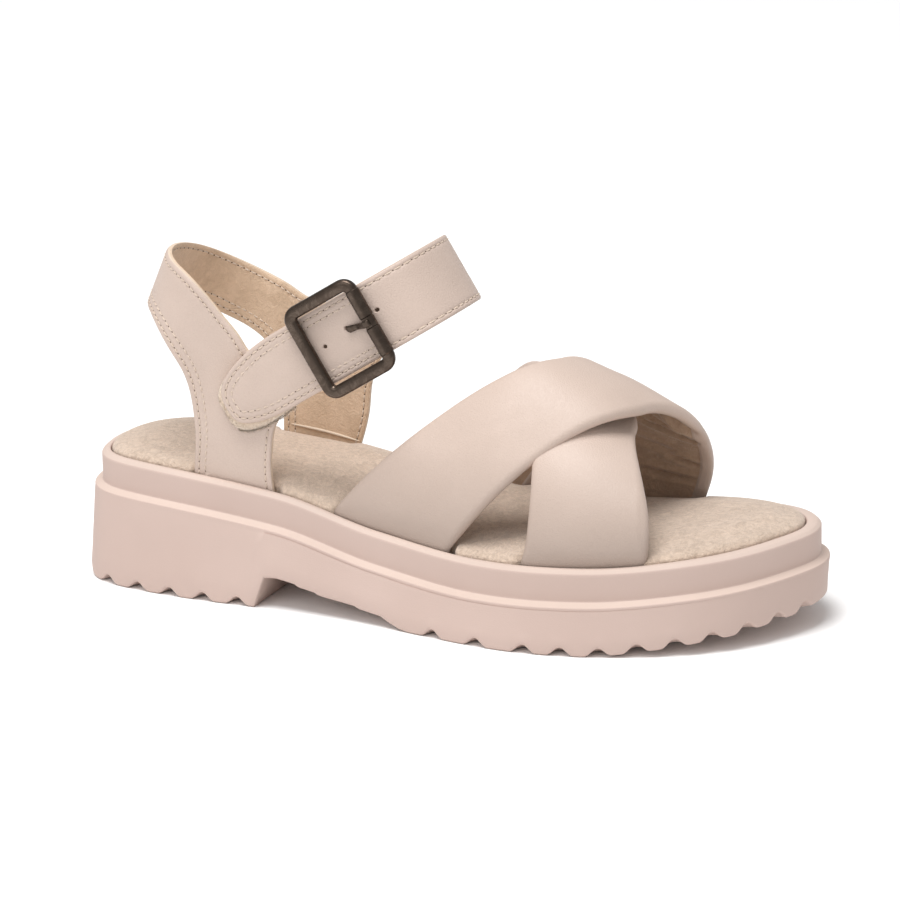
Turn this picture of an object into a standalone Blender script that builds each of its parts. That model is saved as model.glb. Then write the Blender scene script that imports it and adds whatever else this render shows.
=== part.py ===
# Cross strap sandal, right shoe, in metres. +X points to the toe, +Y to the medial side, +Z up.
import math

import bmesh
import bpy
import numpy as np
from mathutils import geometry

# Sole, driving sizes
SOLE_LENGTH = 0.262
HEEL_WIDTH = 0.0705
BALL_WIDTH = 0.0970
HEEL_HEIGHT = 0.0451
FOREFOOT_HEIGHT = 0.0276
TOE_LIFT = 0.0071
ARCH_HEIGHT = 0.0112
TOE_SPRING = 0.0093
BAND_HEIGHT = 0.0107
LEDGE_DEPTH = 0.0028
LEDGE_DROP = 0.0015
RIM_WIDTH = 0.0032
RECESS_DEPTH = 0.0050
BASE_FLARE = 0.0032
EDGE_ROUND = 0.0012

# Edge lugs
NOTCH_HEIGHT = 0.0029
NOTCH_WIDTH = 0.0066
NOTCH_REACH = 0.0070
HEEL_LUG_PITCH = 0.0130
BALL_LUG_PITCH = 0.0172
TOE_LUG_PITCH = 0.0126
BALL_LUGS = 2
BALL_LUG_START = 0.548

# Footbed
FOOTBED_RISE = 0.0040
FOOTBED_ROUND = 0.0045
FOOTBED_CROWN = 0.0010
HEEL_CUP = 0.0016
ARCH_PAD = 0.0050
ARCH_PAD_PLACE = 0.46
ARCH_PAD_SPREAD = 0.12
SLOT_SPARE = 0.0004
SLOT_BEHIND = 0.0014
SLOT_AHEAD = 0.0050
SLOT_RAMP = 0.0010

# Clearances
GAP = 0.0003
SEAT_GAP = 0.0004
SEAT_INSET = LEDGE_DEPTH + RIM_WIDTH + SEAT_GAP

# Cross straps
INSTEP_HEIGHT = 0.0570
STRAP_PADDING = 0.0045
STRAP_FOOT = 0.0024
STRAP_PUFF = 0.0012
CROSS_LIFT = 0.0040
ARCH_LEAN = 0.53
ARCH_SKEW = 0.0039
ARCH_BULGE = 0.0012
ARCH_SQUARENESS = 2.59
PADDING_START = 0.0090

# Heel quarter
QUARTER_WALL = 0.0022
QUARTER_REACH = 0.1000
SLING_RISE = 0.0750
HEEL_INSET = 0.00775
HEEL_RADIUS = HEEL_WIDTH / 2 - HEEL_INSET
HEEL_BACK = 0.0210
HEEL_BACK_LEVEL = 0.0530
HEEL_LEAN = 0.43
LEG_SPREAD = 0.0180

# Instep strap and its loop round the ankle
STRAP_WALL = 0.0024
STRAP_WIDTH = 0.0240
LOOP_REACH = 0.0285
LOOP_TILT = math.radians(31.5)
LOOP_LEVEL = 0.0555
TAB_END = 0.0515
STRAP_START = 0.0360
ARM_WIDTH = 0.0252
PATCH_WALL = 0.0008
PATCH_SHOW = 0.0026
PATCH_LENGTH = 0.0280

# Buckle
BUCKLE_ALONG = 0.0286
BUCKLE_ACROSS = 0.0340
BUCKLE_WIRE = 0.0036
BUCKLE_BACK = 0.0007
BUCKLE_CORNER = 0.0030
ROLLER_DIAMETER = 0.0050
ROLLER_LENGTH = 0.0245
PRONG_WIDTH = 0.0022
PRONG_LENGTH = 0.0125

# Mesh fineness
WALL_STATIONS = 84
STRAP_STATIONS = 38
PATTERN_STEP = 0.0052

# Outline of the ledge. Columns: along as a share of the length, lateral, medial, and the width they are shares of.
OUTLINE = (
    (0.030, 0.364, 0.299, "heel"),
    (0.100, 0.463, 0.465, "heel"),
    (0.200, 0.504, 0.497, "heel"),
    (0.320, 0.516, 0.502, "heel"),
    (0.440, 0.411, 0.372, "ball"),
    (0.560, 0.479, 0.400, "ball"),
    (0.660, 0.519, 0.433, "ball"),
    (0.760, 0.492, 0.478, "ball"),
    (0.860, 0.395, 0.471, "ball"),
    (0.940, 0.240, 0.382, "ball"),
    (0.985, 0.059, 0.249, "ball"),
)
TOE_TIP = 0.047

# Height of the rim. Columns: along, share of the heel's rise over the forefoot, share of the toe's lift.
RIM = (
    (0.00, 1.000, 0.000),
    (0.15, 0.900, 0.000),
    (0.30, 0.669, 0.000),
    (0.45, 0.183, 0.000),
    (0.60, 0.000, 0.000),
    (0.75, 0.000, 0.113),
    (0.88, 0.000, 0.493),
    (1.00, 0.000, 1.000),
)

# Underside. Columns: along, share of the arch height, share of the toe spring.
UNDERSIDE = (
    (0.000, 0.00, 0.00),
    (0.277, 0.00, 0.00),
    (0.293, 0.98, 0.00),
    (0.311, 1.00, 0.00),
    (0.338, 0.89, 0.00),
    (0.342, 0.82, 0.00),
    (0.368, 0.71, 0.00),
    (0.372, 0.64, 0.00),
    (0.428, 0.50, 0.00),
    (0.432, 0.44, 0.00),
    (0.468, 0.33, 0.00),
    (0.474, 0.24, 0.00),
    (0.495, 0.05, 0.00),
    (0.510, 0.00, 0.00),
    (0.770, 0.00, 0.00),
    (0.804, 0.00, 0.12),
    (0.848, 0.00, 0.27),
    (0.885, 0.00, 0.41),
    (0.924, 0.00, 0.55),
    (0.949, 0.00, 0.69),
    (0.977, 0.00, 0.80),
    (1.000, 0.00, 1.00),
)

# How far the foot of the side wall stands out. Columns: along, share of the base flare.
FLARE = ((0.00, 0.75), (0.30, 1.00), (0.60, 1.00), (0.85, 0.55), (1.00, -0.30))

# Rounded edge of the footbed. Columns: inset as a share of the rounding, height as a share of the rise.
FOOTBED_EDGE = ((0.00, 0.070), (0.22, 0.385), (0.60, 0.595), (1.30, 0.700), (3.40, 1.000))

# Arch of the foot under the cross straps. Columns: along, share of the instep height.
FOOT_ARCH = ((0.363, 1.000), (0.496, 1.000), (0.611, 0.858), (0.725, 0.651), (0.840, 0.486))

# Edges of the cross straps. Columns: along at the lateral foot, along at the medial foot, bow on the top.
OVER_EDGES = {"rear": (0.382, 0.624, 0.033), "front": (0.554, 0.786, 0.017)}
UNDER_EDGES = {"rear": (0.664, 0.446, -0.046), "front": (0.821, 0.537, -0.003)}

# Section of a padded strap. Columns: across from rear to front edge, depth as a share of the wall.
PADDED_SECTION = (
    (-0.012, 0.50),
    (0.015, 0.14),
    (0.09, 0.00),
    (0.30, 0.00),
    (0.50, 0.00),
    (0.70, 0.00),
    (0.91, 0.00),
    (0.985, 0.14),
    (1.012, 0.50),
    (0.97, 0.90),
    (0.70, 1.00),
    (0.30, 1.00),
    (0.03, 0.90),
)

# Edges of the quarter. Columns: around from the back seam as a share of its reach, up as a share of its rise.
SLING_TOP = {
    "lateral": ((0.685, 0.640), (0.62, 0.698), (0.54, 0.762), (0.39, 0.895), (0.32, 0.940), (0.21, 0.985),
                (0.10, 1.000)),
    "medial": ((0.05, 0.978), (0.12, 0.951), (0.26, 0.872), (0.42, 0.779), (0.52, 0.728), (0.60, 0.680)),
}
SLING_FOOT = {
    "lateral": ((0.00, 0.725), (0.11, 0.738), (0.21, 0.724), (0.29, 0.675), (0.37, 0.598), (0.48, 0.456),
                (0.55, 0.308)),
    "medial": ((0.11, 0.690), (0.22, 0.637), (0.32, 0.574), (0.42, 0.517), (0.53, 0.432), (0.62, 0.270)),
}
LEG_REAR = {"lateral": ((0.595, 0.178), (0.628, 0.040)), "medial": ((0.675, 0.140), (0.708, 0.040))}
LEG_FRONT = {
    "lateral": ((0.918, 0.052), (0.882, 0.180), (0.867, 0.310)),
    "medial": ((0.992, 0.170), (0.963, 0.300)),
}

# Places along the quarter, as shares of its reach: each leg's foot, their middle, and the loop's own middle.
LEG_FEET = {"lateral": (0.654, 0.978), "medial": (0.739, 1.023)}
LEG_MIDDLE = 0.419
LOOP_AROUND = 0.987

# Edges of the quarter's arms under the strap. Columns: along and across it, as shares of the arm's half width.
LATERAL_ARM = (
    ((-1.60, -1.000), (-0.70, -1.000), (0.50, -1.000)),
    ((0.50, -1.000), (0.81, -0.800), (0.87, 0.000), (0.81, 0.720), (0.50, 0.905)),
    ((0.50, 0.905), (-1.00, 0.905), (-2.42, 0.905)),
)
MEDIAL_ARM = (
    ((-2.42, 0.905), (-1.80, 0.905), (-0.95, 0.905)),
    ((-0.95, 0.905), (-0.95, -1.000)),
    ((-0.95, -1.000), (-1.50, -1.000)),
)

# Loop round the ankle. Columns: along the strap as a share of its reach, aside as a share of the heel radius.
LOOP = (
    (-2.40, -1.000),
    (-1.75, -1.000),
    (-1.20, -0.996),
    (-0.56, -0.955),
    (0.00, -0.885),
    (0.54, -0.815),
    (0.86, -0.600),
    (0.98, -0.290),
    (1.00, 0.000),
    (0.94, 0.255),
    (0.74, 0.527),
    (0.35, 0.756),
    (-0.21, 0.938),
    (-0.84, 0.996),
    (-1.75, 1.000),
    (-2.40, 1.000),
)

# Round end of the strap. Columns: from the end as a share of the width, lower and upper edge, of the half width.
TAB = (
    (0.00, -0.40, 0.08),
    (0.03, -0.58, 0.26),
    (0.12, -0.72, 0.47),
    (0.28, -0.82, 0.66),
    (0.50, -0.90, 0.81),
    (0.80, -0.96, 0.94),
    (1.15, -1.00, 1.00),
)

# Prong. Columns: turn round the bar in degrees, share of its length beyond the last turn, thickness share.
PRONG = (
    (86, 0.00, 1.00),
    (104, 0.00, 1.00),
    (122, 0.00, 1.00),
    (134, 0.00, 1.00),
    (134, 0.30, 0.85),
    (134, 0.85, 0.50),
)

COLOURS = {
    "sole_unit": ((0.71, 0.55, 0.50, 1.0), 0.62, 0.0),
    "footbed": ((0.65, 0.53, 0.40, 1.0), 0.95, 0.0),
    "cross_straps": ((0.66, 0.55, 0.47, 1.0), 0.48, 0.0),
    "heel_quarter": ((0.66, 0.54, 0.47, 1.0), 0.50, 0.0),
    "instep_strap": ((0.66, 0.54, 0.47, 1.0), 0.50, 0.0),
    "fastening_patch": ((0.72, 0.62, 0.48, 1.0), 0.95, 0.0),
    "buckle_frame": ((0.11, 0.09, 0.08, 1.0), 0.35, 1.0),
    "buckle_roller": ((0.12, 0.10, 0.09, 1.0), 0.35, 1.0),
    "buckle_prong": ((0.12, 0.10, 0.09, 1.0), 0.35, 1.0),
}


def smooth_table(rows, column):
    """A smooth curve through a table's column that doesn't overshoot its rows."""
    x = np.array([row[0] for row in rows], float)
    y = np.array([row[column] for row in rows], float)
    step = np.diff(x)
    slope = np.diff(y) / step
    tangent = np.zeros(len(x))
    for i in range(1, len(x) - 1):
        if slope[i - 1] * slope[i] > 0:
            tangent[i] = 2 * slope[i - 1] * slope[i] / (slope[i - 1] + slope[i])
    tangent[0] = slope[0]
    tangent[-1] = slope[-1]

    def value(at):
        at = np.clip(np.asarray(at, float), x[0], x[-1])
        i = np.clip(np.searchsorted(x, at) - 1, 0, len(step) - 1)
        t = (at - x[i]) / step[i]
        rise = (3 - 2 * t) * t * t
        return (y[i] * (1 - rise) + y[i + 1] * rise
                + step[i] * (tangent[i] * t * (1 - t) ** 2 - tangent[i + 1] * t * t * (1 - t)))

    return value


def straight_table(rows, column):
    """Straight runs between a table's rows."""
    x = [row[0] for row in rows]
    y = [row[column] for row in rows]
    return lambda at: np.interp(at, x, y)


def spline(points, closed, count):
    """Evenly spaced points on a smooth curve through the given points."""
    points = np.array(points, float)
    if closed:
        points = np.vstack([points, points[:1]])
    n = len(points)
    t = np.concatenate([[0], np.cumsum(np.linalg.norm(np.diff(points, axis=0), axis=1))])
    h = np.diff(t)
    system = np.zeros((n, n))
    right = np.zeros((n, points.shape[1]))
    for i in range(1, n - 1):
        system[i, i - 1:i + 2] = h[i - 1], 2 * (h[i - 1] + h[i]), h[i]
        right[i] = 6 * ((points[i + 1] - points[i]) / h[i] - (points[i] - points[i - 1]) / h[i - 1])
    if closed:
        system[0, 0], system[0, -1] = 1, -1
        system[-1, 0], system[-1, 1] = 2 * h[0], h[0]
        system[-1, -2], system[-1, -1] = h[-1], 2 * h[-1]
        right[-1] = 6 * ((points[1] - points[0]) / h[0] - (points[-1] - points[-2]) / h[-1])
    else:
        system[0, 0] = system[-1, -1] = 1
    bend = np.linalg.solve(system, right)
    fine = np.linspace(0, t[-1], 40 * n)
    i = np.clip(np.searchsorted(t, fine) - 1, 0, n - 2)
    a = ((t[i + 1] - fine) / h[i])[:, None]
    b = 1 - a
    curve = (a * points[i] + b * points[i + 1]
             + ((a ** 3 - a) * bend[i] + (b ** 3 - b) * bend[i + 1]) * (h[i] ** 2)[:, None] / 6)
    run = np.concatenate([[0], np.cumsum(np.linalg.norm(np.diff(curve, axis=0), axis=1))])
    even = np.linspace(0, run[-1], count, endpoint=not closed)
    return np.stack([np.interp(even, run, curve[:, k]) for k in range(curve.shape[1])], 1), run[-1]


rim_heel, rim_toe = smooth_table(RIM, 1), smooth_table(RIM, 2)
under_arch, under_toe = straight_table(UNDERSIDE, 1), straight_table(UNDERSIDE, 2)
flare_share = smooth_table(FLARE, 1)
arch_share = smooth_table(FOOT_ARCH, 1)


def rim_height(x):
    along = np.asarray(x) / SOLE_LENGTH
    return FOREFOOT_HEIGHT + rim_heel(along) * (HEEL_HEIGHT - FOREFOOT_HEIGHT) + rim_toe(along) * TOE_LIFT


def underside_height(x):
    along = np.asarray(x) / SOLE_LENGTH
    return under_arch(along) * ARCH_HEIGHT + under_toe(along) * TOE_SPRING


def outline_points():
    """The ledge outline, from the back of the heel along the lateral side to the toe and back."""
    width = {"heel": HEEL_WIDTH, "ball": BALL_WIDTH}
    lateral = [(row[0] * SOLE_LENGTH, -row[1] * width[row[3]]) for row in OUTLINE]
    medial = [(row[0] * SOLE_LENGTH, row[2] * width[row[3]]) for row in reversed(OUTLINE)]
    corners = [(0, 0)] + lateral + [(SOLE_LENGTH, TOE_TIP * BALL_WIDTH)] + medial
    return spline(corners, True, 1600)


RING, GIRTH = outline_points()
RING_RUN = np.linspace(0, GIRTH, len(RING), endpoint=False)
_ahead = np.roll(RING, -1, axis=0) - np.roll(RING, 1, axis=0)
RING_OUT = np.stack([_ahead[:, 1], -_ahead[:, 0]], 1) / np.linalg.norm(_ahead, axis=1)[:, None]
TOE_RUN = RING_RUN[np.argmax(RING[:, 0])]


def on_ring(run, offset):
    """Plan points at a distance along the outline, moved out by an offset."""
    run = np.mod(run, GIRTH)
    closed_run = np.append(RING_RUN, GIRTH)
    place = [np.interp(run, closed_run, np.append(RING[:, k], RING[0, k])) for k in (0, 1)]
    out = [np.interp(run, closed_run, np.append(RING_OUT[:, k], RING_OUT[0, k])) for k in (0, 1)]
    return np.stack([place[k] + offset * out[k] for k in (0, 1)], -1)


def run_at(along, side):
    """Distance round the outline of the point at a share of the length on one side."""
    index = np.arange(len(RING))
    half = RING_RUN <= TOE_RUN if side == "lateral" else RING_RUN >= TOE_RUN
    chosen = index[half]
    order = np.argsort(RING[chosen, 0])
    return float(np.interp(along * SOLE_LENGTH, RING[chosen, 0][order], RING_RUN[chosen][order]))


def wall_side(x, side, inset):
    """Sideways place of the outline, moved in by an inset, at x."""
    moved = on_ring(RING_RUN, -inset)
    half = RING_RUN <= TOE_RUN if side == "lateral" else RING_RUN >= TOE_RUN
    chosen = moved[half]
    order = np.argsort(chosen[:, 0])
    return np.interp(x, chosen[order, 0], chosen[order, 1])


SEAT_X = np.linspace(0, SOLE_LENGTH, 400)
SEAT_WALL = {side: wall_side(SEAT_X, side, SEAT_INSET) for side in ("lateral", "medial")}


def seat_side(x, side):
    """Sideways place of the inside of the rim, where the straps go down, at x."""
    return np.interp(x, SEAT_X, SEAT_WALL[side])


def material_for(name):
    colour, roughness, metallic = COLOURS[name]
    material = bpy.data.materials.new(name)
    material.use_nodes = True
    shader = material.node_tree.nodes["Principled BSDF"]
    shader.inputs["Base Color"].default_value = colour
    shader.inputs["Roughness"].default_value = roughness
    shader.inputs["Metallic"].default_value = metallic
    return material


def new_object(name, bm, finish=None, sharp_angle=38):
    bmesh.ops.recalc_face_normals(bm, faces=bm.faces)
    bmesh.ops.triangulate(bm, faces=bm.faces)
    mesh = bpy.data.meshes.new(name)
    bm.to_mesh(mesh)
    bm.free()
    mesh.shade_smooth()
    mesh.set_sharp_from_angle(angle=math.radians(sharp_angle))
    item = bpy.data.objects.new(name, mesh)
    bpy.context.collection.objects.link(item)
    mesh.materials.append(material_for(finish or name))
    return item


def add_ring(bm, points):
    return [bm.verts.new(tuple(float(v) for v in point)) for point in points]


def zip_chains(bm, first, first_at, second, second_at, closed):
    """Triangles between two chains of vertices, stepping on whichever lags behind."""
    if closed:
        first, second = first + first[:1], second + second[:1]
        first_at = np.append(first_at, first_at[0] + closed)
        second_at = np.append(second_at, second_at[0] + closed)
    i = j = 0
    while i < len(first) - 1 or j < len(second) - 1:
        step_first = j == len(second) - 1 or (i < len(first) - 1 and first_at[i + 1] <= second_at[j + 1])
        if step_first:
            corners = (first[i], first[i + 1], second[j])
            i += 1
        else:
            corners = (first[i], second[j + 1], second[j])
            j += 1
        if len(set(corners)) == 3:
            bm.faces.new(corners)


def fill_across(bm, ring):
    """Close a ring with strips that run from its lateral to its medial side."""
    xs = [vert.co.x for vert in ring]
    low, high = int(np.argmin(xs)), int(np.argmax(xs))
    n = len(ring)
    lateral = [ring[(low + k) % n] for k in range((high - low) % n + 1)]
    medial = [ring[(low - k) % n] for k in range((low - high) % n + 1)]
    zip_chains(bm, lateral, [v.co.x for v in lateral], medial, [v.co.x for v in medial], 0)


def loft_rings(bm, rings):
    """Quads between rings of equal count."""
    for lower, upper in zip(rings, rings[1:]):
        n = len(lower)
        for i in range(n):
            bm.faces.new((lower[i], lower[(i + 1) % n], upper[(i + 1) % n], upper[i]))


def tube_of_sections(bm, sections, closed=False):
    """A solid from sections of equal count, capped at both ends unless it is closed."""
    rings = [add_ring(bm, section) for section in sections]
    loft_rings(bm, rings + rings[:1] if closed else rings)
    if not closed:
        bm.faces.new(rings[0])
        bm.faces.new(rings[-1])


def notch_runs():
    """Middle of each notch between two edge lugs, as a distance round the outline."""
    runs = []
    breast = UNDERSIDE[1][0]
    start, end = run_at(breast, "medial") - GIRTH, run_at(breast, "lateral")
    gaps = round((end - start) / HEEL_LUG_PITCH)
    runs += [start + (k + 0.5) * (end - start) / gaps for k in range(gaps)]
    for side, turn in (("lateral", 1), ("medial", -1)):
        at = run_at(BALL_LUG_START, side)
        reach = abs(TOE_RUN - at)
        gone, count = 0.0, 0
        while gone < reach - TOE_LUG_PITCH / 2:
            runs.append(at + turn * gone)
            gone += BALL_LUG_PITCH if count < BALL_LUGS else TOE_LUG_PITCH
            count += 1
    return sorted(run % GIRTH for run in runs)


def notch_lift(run, notches):
    """Height of the notches over the underside, round the outline."""
    lift = np.zeros(len(run))
    for middle in notches:
        off = np.abs((run - middle + GIRTH / 2) % GIRTH - GIRTH / 2)
        share = np.clip(off / (NOTCH_WIDTH / 2), 0, 1)
        lift = np.maximum(lift, NOTCH_HEIGHT * np.cos(share * math.pi / 2) ** 1.2)
    return lift


def make_sole():
    bm = bmesh.new()
    notches = notch_runs()
    edge_runs = [m + s * NOTCH_WIDTH / 2 for m in notches for s in (-1, -0.5, 0, 0.5, 1)]
    edge_runs += [run_at(row[0], side) for row in UNDERSIDE[1:-1] for side in ("lateral", "medial")]
    edge_runs = np.unique(np.round(np.mod(edge_runs, GIRTH), 5))
    close = np.diff(np.append(edge_runs, edge_runs[0] + GIRTH)) > GAP * 3
    edge_runs = edge_runs[close]
    wall_runs = np.linspace(0, GIRTH, WALL_STATIONS, endpoint=False)

    def ring(runs, offset, height):
        plan = on_ring(runs, offset)
        return np.column_stack([plan, height(plan[:, 0])])

    def flare(runs):
        return BASE_FLARE * flare_share(on_ring(runs, 0)[:, 0] / SOLE_LENGTH)

    lift = notch_lift(edge_runs, notches)
    inner = ring(edge_runs, -NOTCH_REACH, underside_height)
    tread = ring(edge_runs, flare(edge_runs) - EDGE_ROUND, underside_height)
    tread[:, 2] += lift
    corner = ring(edge_runs, flare(edge_runs), underside_height)
    corner[:, 2] += np.maximum(lift + EDGE_ROUND, NOTCH_HEIGHT * 0.6)
    dense = [add_ring(bm, points) for points in (inner, tread, corner)]
    loft_rings(bm, dense)
    fill_across(bm, dense[0])

    def ledge(x):
        return rim_height(x) - BAND_HEIGHT - LEDGE_DROP

    def halfway(x):
        return underside_height(x) * 0.45 + ledge(x) * 0.55

    profile = (
        (flare(wall_runs) * 0.45, halfway),
        (0.0, lambda x: ledge(x) - EDGE_ROUND),
        (-EDGE_ROUND * 0.35, lambda x: ledge(x) - EDGE_ROUND * 0.3),
        (-EDGE_ROUND, ledge),
        (-LEDGE_DEPTH, lambda x: ledge(x) + LEDGE_DROP),
        (-LEDGE_DEPTH, lambda x: rim_height(x) - EDGE_ROUND),
        (-LEDGE_DEPTH - EDGE_ROUND * 0.35, lambda x: rim_height(x) - EDGE_ROUND * 0.3),
        (-LEDGE_DEPTH - EDGE_ROUND, rim_height),
        (-LEDGE_DEPTH - RIM_WIDTH, rim_height),
        (-LEDGE_DEPTH - RIM_WIDTH, lambda x: rim_height(x) - RECESS_DEPTH),
    )
    walls = [add_ring(bm, ring(wall_runs, offset, height)) for offset, height in profile]
    loft_rings(bm, walls)
    zip_chains(bm, dense[-1], edge_runs, walls[0], wall_runs, GIRTH)
    fill_across(bm, walls[-1])
    return new_object("sole_unit", bm)


def strap_feet():
    """Run of each strap foot round the outline: side, first and last share of the length."""
    feet = []
    for side, shares in LEG_FEET.items():
        places = [leg_foot(share, 1) for share in shares]
        feet.append((side, [(heel_centre(z) + around - HEEL_ARC) / SOLE_LENGTH for around, z in places]))
    for edges in (OVER_EDGES, UNDER_EDGES):
        for column, side in ((0, "lateral"), (1, "medial")):
            ends = sorted(edges[name][column] for name in ("rear", "front"))
            feet.append((side, ends))
    return feet


def make_footbed():
    bm = bmesh.new()
    slot = STRAP_FOOT + SEAT_GAP + SLOT_SPARE
    spans = []
    for side, ends in strap_feet():
        a = run_at(ends[0] - SLOT_BEHIND / SOLE_LENGTH, side)
        b = run_at(ends[1] + SLOT_AHEAD / SOLE_LENGTH, side)
        spans.append((min(a, b), max(a, b)))
    runs = list(np.linspace(0, GIRTH, WALL_STATIONS, endpoint=False))
    runs = [r for r in runs if all(abs(r - e) > 2 * SLOT_RAMP for span in spans for e in span)]
    for low, high in spans:
        runs += [low - SLOT_RAMP, low, high, high + SLOT_RAMP]
    runs = np.array(sorted(runs))
    depth = np.zeros(len(runs))
    for low, high in spans:
        cut = (runs > low - SLOT_RAMP / 2) & (runs < high + SLOT_RAMP / 2)
        depth[cut] = slot

    def top(plan, share):
        along = plan[:, 0] / SOLE_LENGTH
        cup = np.exp(-((along - 0.14) / 0.11) ** 2)
        pad = np.exp(-((along - ARCH_PAD_PLACE) / ARCH_PAD_SPREAD) ** 2) * np.clip(plan[:, 1] / (HEEL_WIDTH / 2), 0, 1)
        middle = np.clip((share - 0.7) / 0.3, 0, 1)
        return (rim_height(plan[:, 0]) + FOOTBED_RISE * share + FOOTBED_CROWN * middle
                + ARCH_PAD * pad * share - HEEL_CUP * cup * middle)

    plan = on_ring(runs, -(SEAT_INSET + depth))
    rings = [np.column_stack([plan, rim_height(plan[:, 0]) - RECESS_DEPTH + SEAT_GAP])]
    for inset, share in FOOTBED_EDGE:
        settle = depth * (1 - inset / FOOTBED_EDGE[-1][0])
        plan = on_ring(runs, -(SEAT_INSET + settle + inset * FOOTBED_ROUND))
        rings.append(np.column_stack([plan, top(plan, share)]))
    verts = [add_ring(bm, ring) for ring in rings]
    loft_rings(bm, verts)
    fill_across(bm, verts[0])
    fill_across(bm, verts[-1])
    return new_object("footbed", bm)


def foot_arch(s, theta, lift):
    """Outer face of the cross straps: s is the foot's place along the sole, theta 0 lateral to pi medial."""
    low, high = seat_side(s, "lateral"), seat_side(s, "medial")
    height = INSTEP_HEIGHT * arch_share(s / SOLE_LENGTH) + lift * np.sin(theta) ** 2
    cosine, sine = np.cos(theta), np.sin(theta)
    aside = -np.sign(cosine) * np.abs(cosine) ** (2 / ARCH_SQUARENESS)
    up = np.clip(np.abs(sine), 0, 1) ** (2 / ARCH_SQUARENESS)
    bulge = ARCH_BULGE * np.sin(math.pi * up ** 0.8) * np.abs(cosine)
    y = (low + high) / 2 + ((high - low) / 2 + bulge) * aside + ARCH_SKEW * up
    return np.array([s + ARCH_LEAN * height * up, y, rim_height(s) + height * up])


def padded_strap(bm, edges, lift):
    """One padded strap from foot to foot over the arch."""
    floor_drop = RECESS_DEPTH - SEAT_GAP
    sections = []
    turns = np.linspace(0, math.pi, STRAP_STATIONS)

    def section(theta, wall, puff, drop):
        mix = 0.35 * (1 - math.cos(theta)) / 2 + 0.65 * theta / math.pi
        rear, front = (SOLE_LENGTH * (a + (b - a) * mix + bow * math.sin(theta))
                       for a, b, bow in (edges["rear"], edges["front"]))
        points = []
        small = 1e-4
        for across, depth in PADDED_SECTION:
            s = rear + (front - rear) * across
            here = foot_arch(s, theta, lift)
            t1, t2 = max(theta - 0.02, 0.002), min(theta + 0.02, math.pi - 0.002)
            turn = foot_arch(s, t2, lift) - foot_arch(s, t1, lift)
            run = foot_arch(s + small, theta, lift) - here
            normal = np.cross(run, turn)
            normal /= np.linalg.norm(normal)
            crown = puff * max(0.0, math.sin(math.pi * min(max(across, 0), 1))) ** 0.8
            point = here + normal * (crown - wall * depth)
            point[2] -= drop
            points.append(point)
        return points

    flat = 0.002
    sections.append(section(flat, STRAP_FOOT, 0.0, floor_drop))
    sections.append(section(flat, STRAP_FOOT, 0.0, 0.0))
    for theta in turns[1:-1]:
        rear_foot = SOLE_LENGTH * edges["rear"][0]
        rise = foot_arch(rear_foot, theta, lift)[2] - rim_height(rear_foot)
        share = min(1.0, max(0.0, rise / PADDING_START))
        share = share * share * (3 - 2 * share)
        wall = STRAP_FOOT + (STRAP_PADDING - STRAP_FOOT) * share
        sections.append(section(theta, wall, STRAP_PUFF * share, 0.0))
    sections.append(section(math.pi - flat, STRAP_FOOT, 0.0, 0.0))
    sections.append(section(math.pi - flat, STRAP_FOOT, 0.0, floor_drop))
    tube_of_sections(bm, sections)


def join_solids(item, other):
    """Fuse a second closed solid into the first."""
    union = item.modifiers.new("join", "BOOLEAN")
    union.operation = "UNION"
    union.solver = "EXACT"
    union.object = other
    other.hide_render = True
    other.display_type = "WIRE"


def make_cross_straps():
    over_mesh, under_mesh = bmesh.new(), bmesh.new()
    padded_strap(over_mesh, OVER_EDGES, CROSS_LIFT)
    padded_strap(under_mesh, UNDER_EDGES, 0.0)
    over = new_object("cross_straps", over_mesh)
    under = new_object("under_strap", under_mesh, "cross_straps")
    join_solids(over, under)
    return over


LEG_LEVEL = float(rim_height(HEEL_BACK + LEG_MIDDLE * QUARTER_REACH))
LOOP_Z = LEG_LEVEL + LOOP_LEVEL
LOOP_COS, LOOP_SIN = math.cos(LOOP_TILT), math.sin(LOOP_TILT)
HEEL_ARC = HEEL_RADIUS * math.pi / 2
LOOP_CURVE, LOOP_RUN = spline([(row[0] * LOOP_REACH, row[1] * HEEL_RADIUS) for row in LOOP], False, 500)
NOSE = int(np.argmax(LOOP_CURVE[:, 0]))
LOOP_SIDES = {"lateral": LOOP_CURVE[:NOSE + 1], "medial": LOOP_CURVE[NOSE:][::-1]}


def heel_centre(z):
    """Middle of the round back of the heel at a height."""
    return HEEL_BACK + HEEL_RADIUS + HEEL_LEAN * (z - LEG_LEVEL - HEEL_BACK_LEVEL)


LOOP_X = heel_centre(LOOP_Z) - HEEL_ARC + LOOP_AROUND * QUARTER_REACH


def quarter_point(around, z, depth):
    """A point of the quarter: around from the back seam, lateral negative, and depth out from the lining."""
    sign = -1 if around < 0 else 1
    side = "lateral" if sign < 0 else "medial"
    reach = abs(around)
    centre = heel_centre(z)
    if reach < HEEL_ARC:
        turn = reach / HEEL_RADIUS
        x = centre - (HEEL_RADIUS + depth) * math.cos(turn)
        y = sign * (HEEL_RADIUS + depth) * math.sin(turn)
        return x, y, z
    x = centre + reach - HEEL_ARC
    along = (x - LOOP_X) * LOOP_COS + (z - LOOP_Z) * LOOP_SIN
    curve = LOOP_SIDES[side]
    near = 0.001
    inner = float(np.interp(along, curve[:, 0], curve[:, 1]))
    slope = (float(np.interp(along + near, curve[:, 0], curve[:, 1])) - inner) / near
    y = inner + sign * depth * math.hypot(1, slope)
    foot = float(seat_side(x, side)) - sign * (QUARTER_WALL - depth)
    share = min(1.0, max(0.0, (z - float(rim_height(x))) / LEG_SPREAD))
    share = share * share * (3 - 2 * share)
    return x, foot + (y - foot) * share, z


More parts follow.
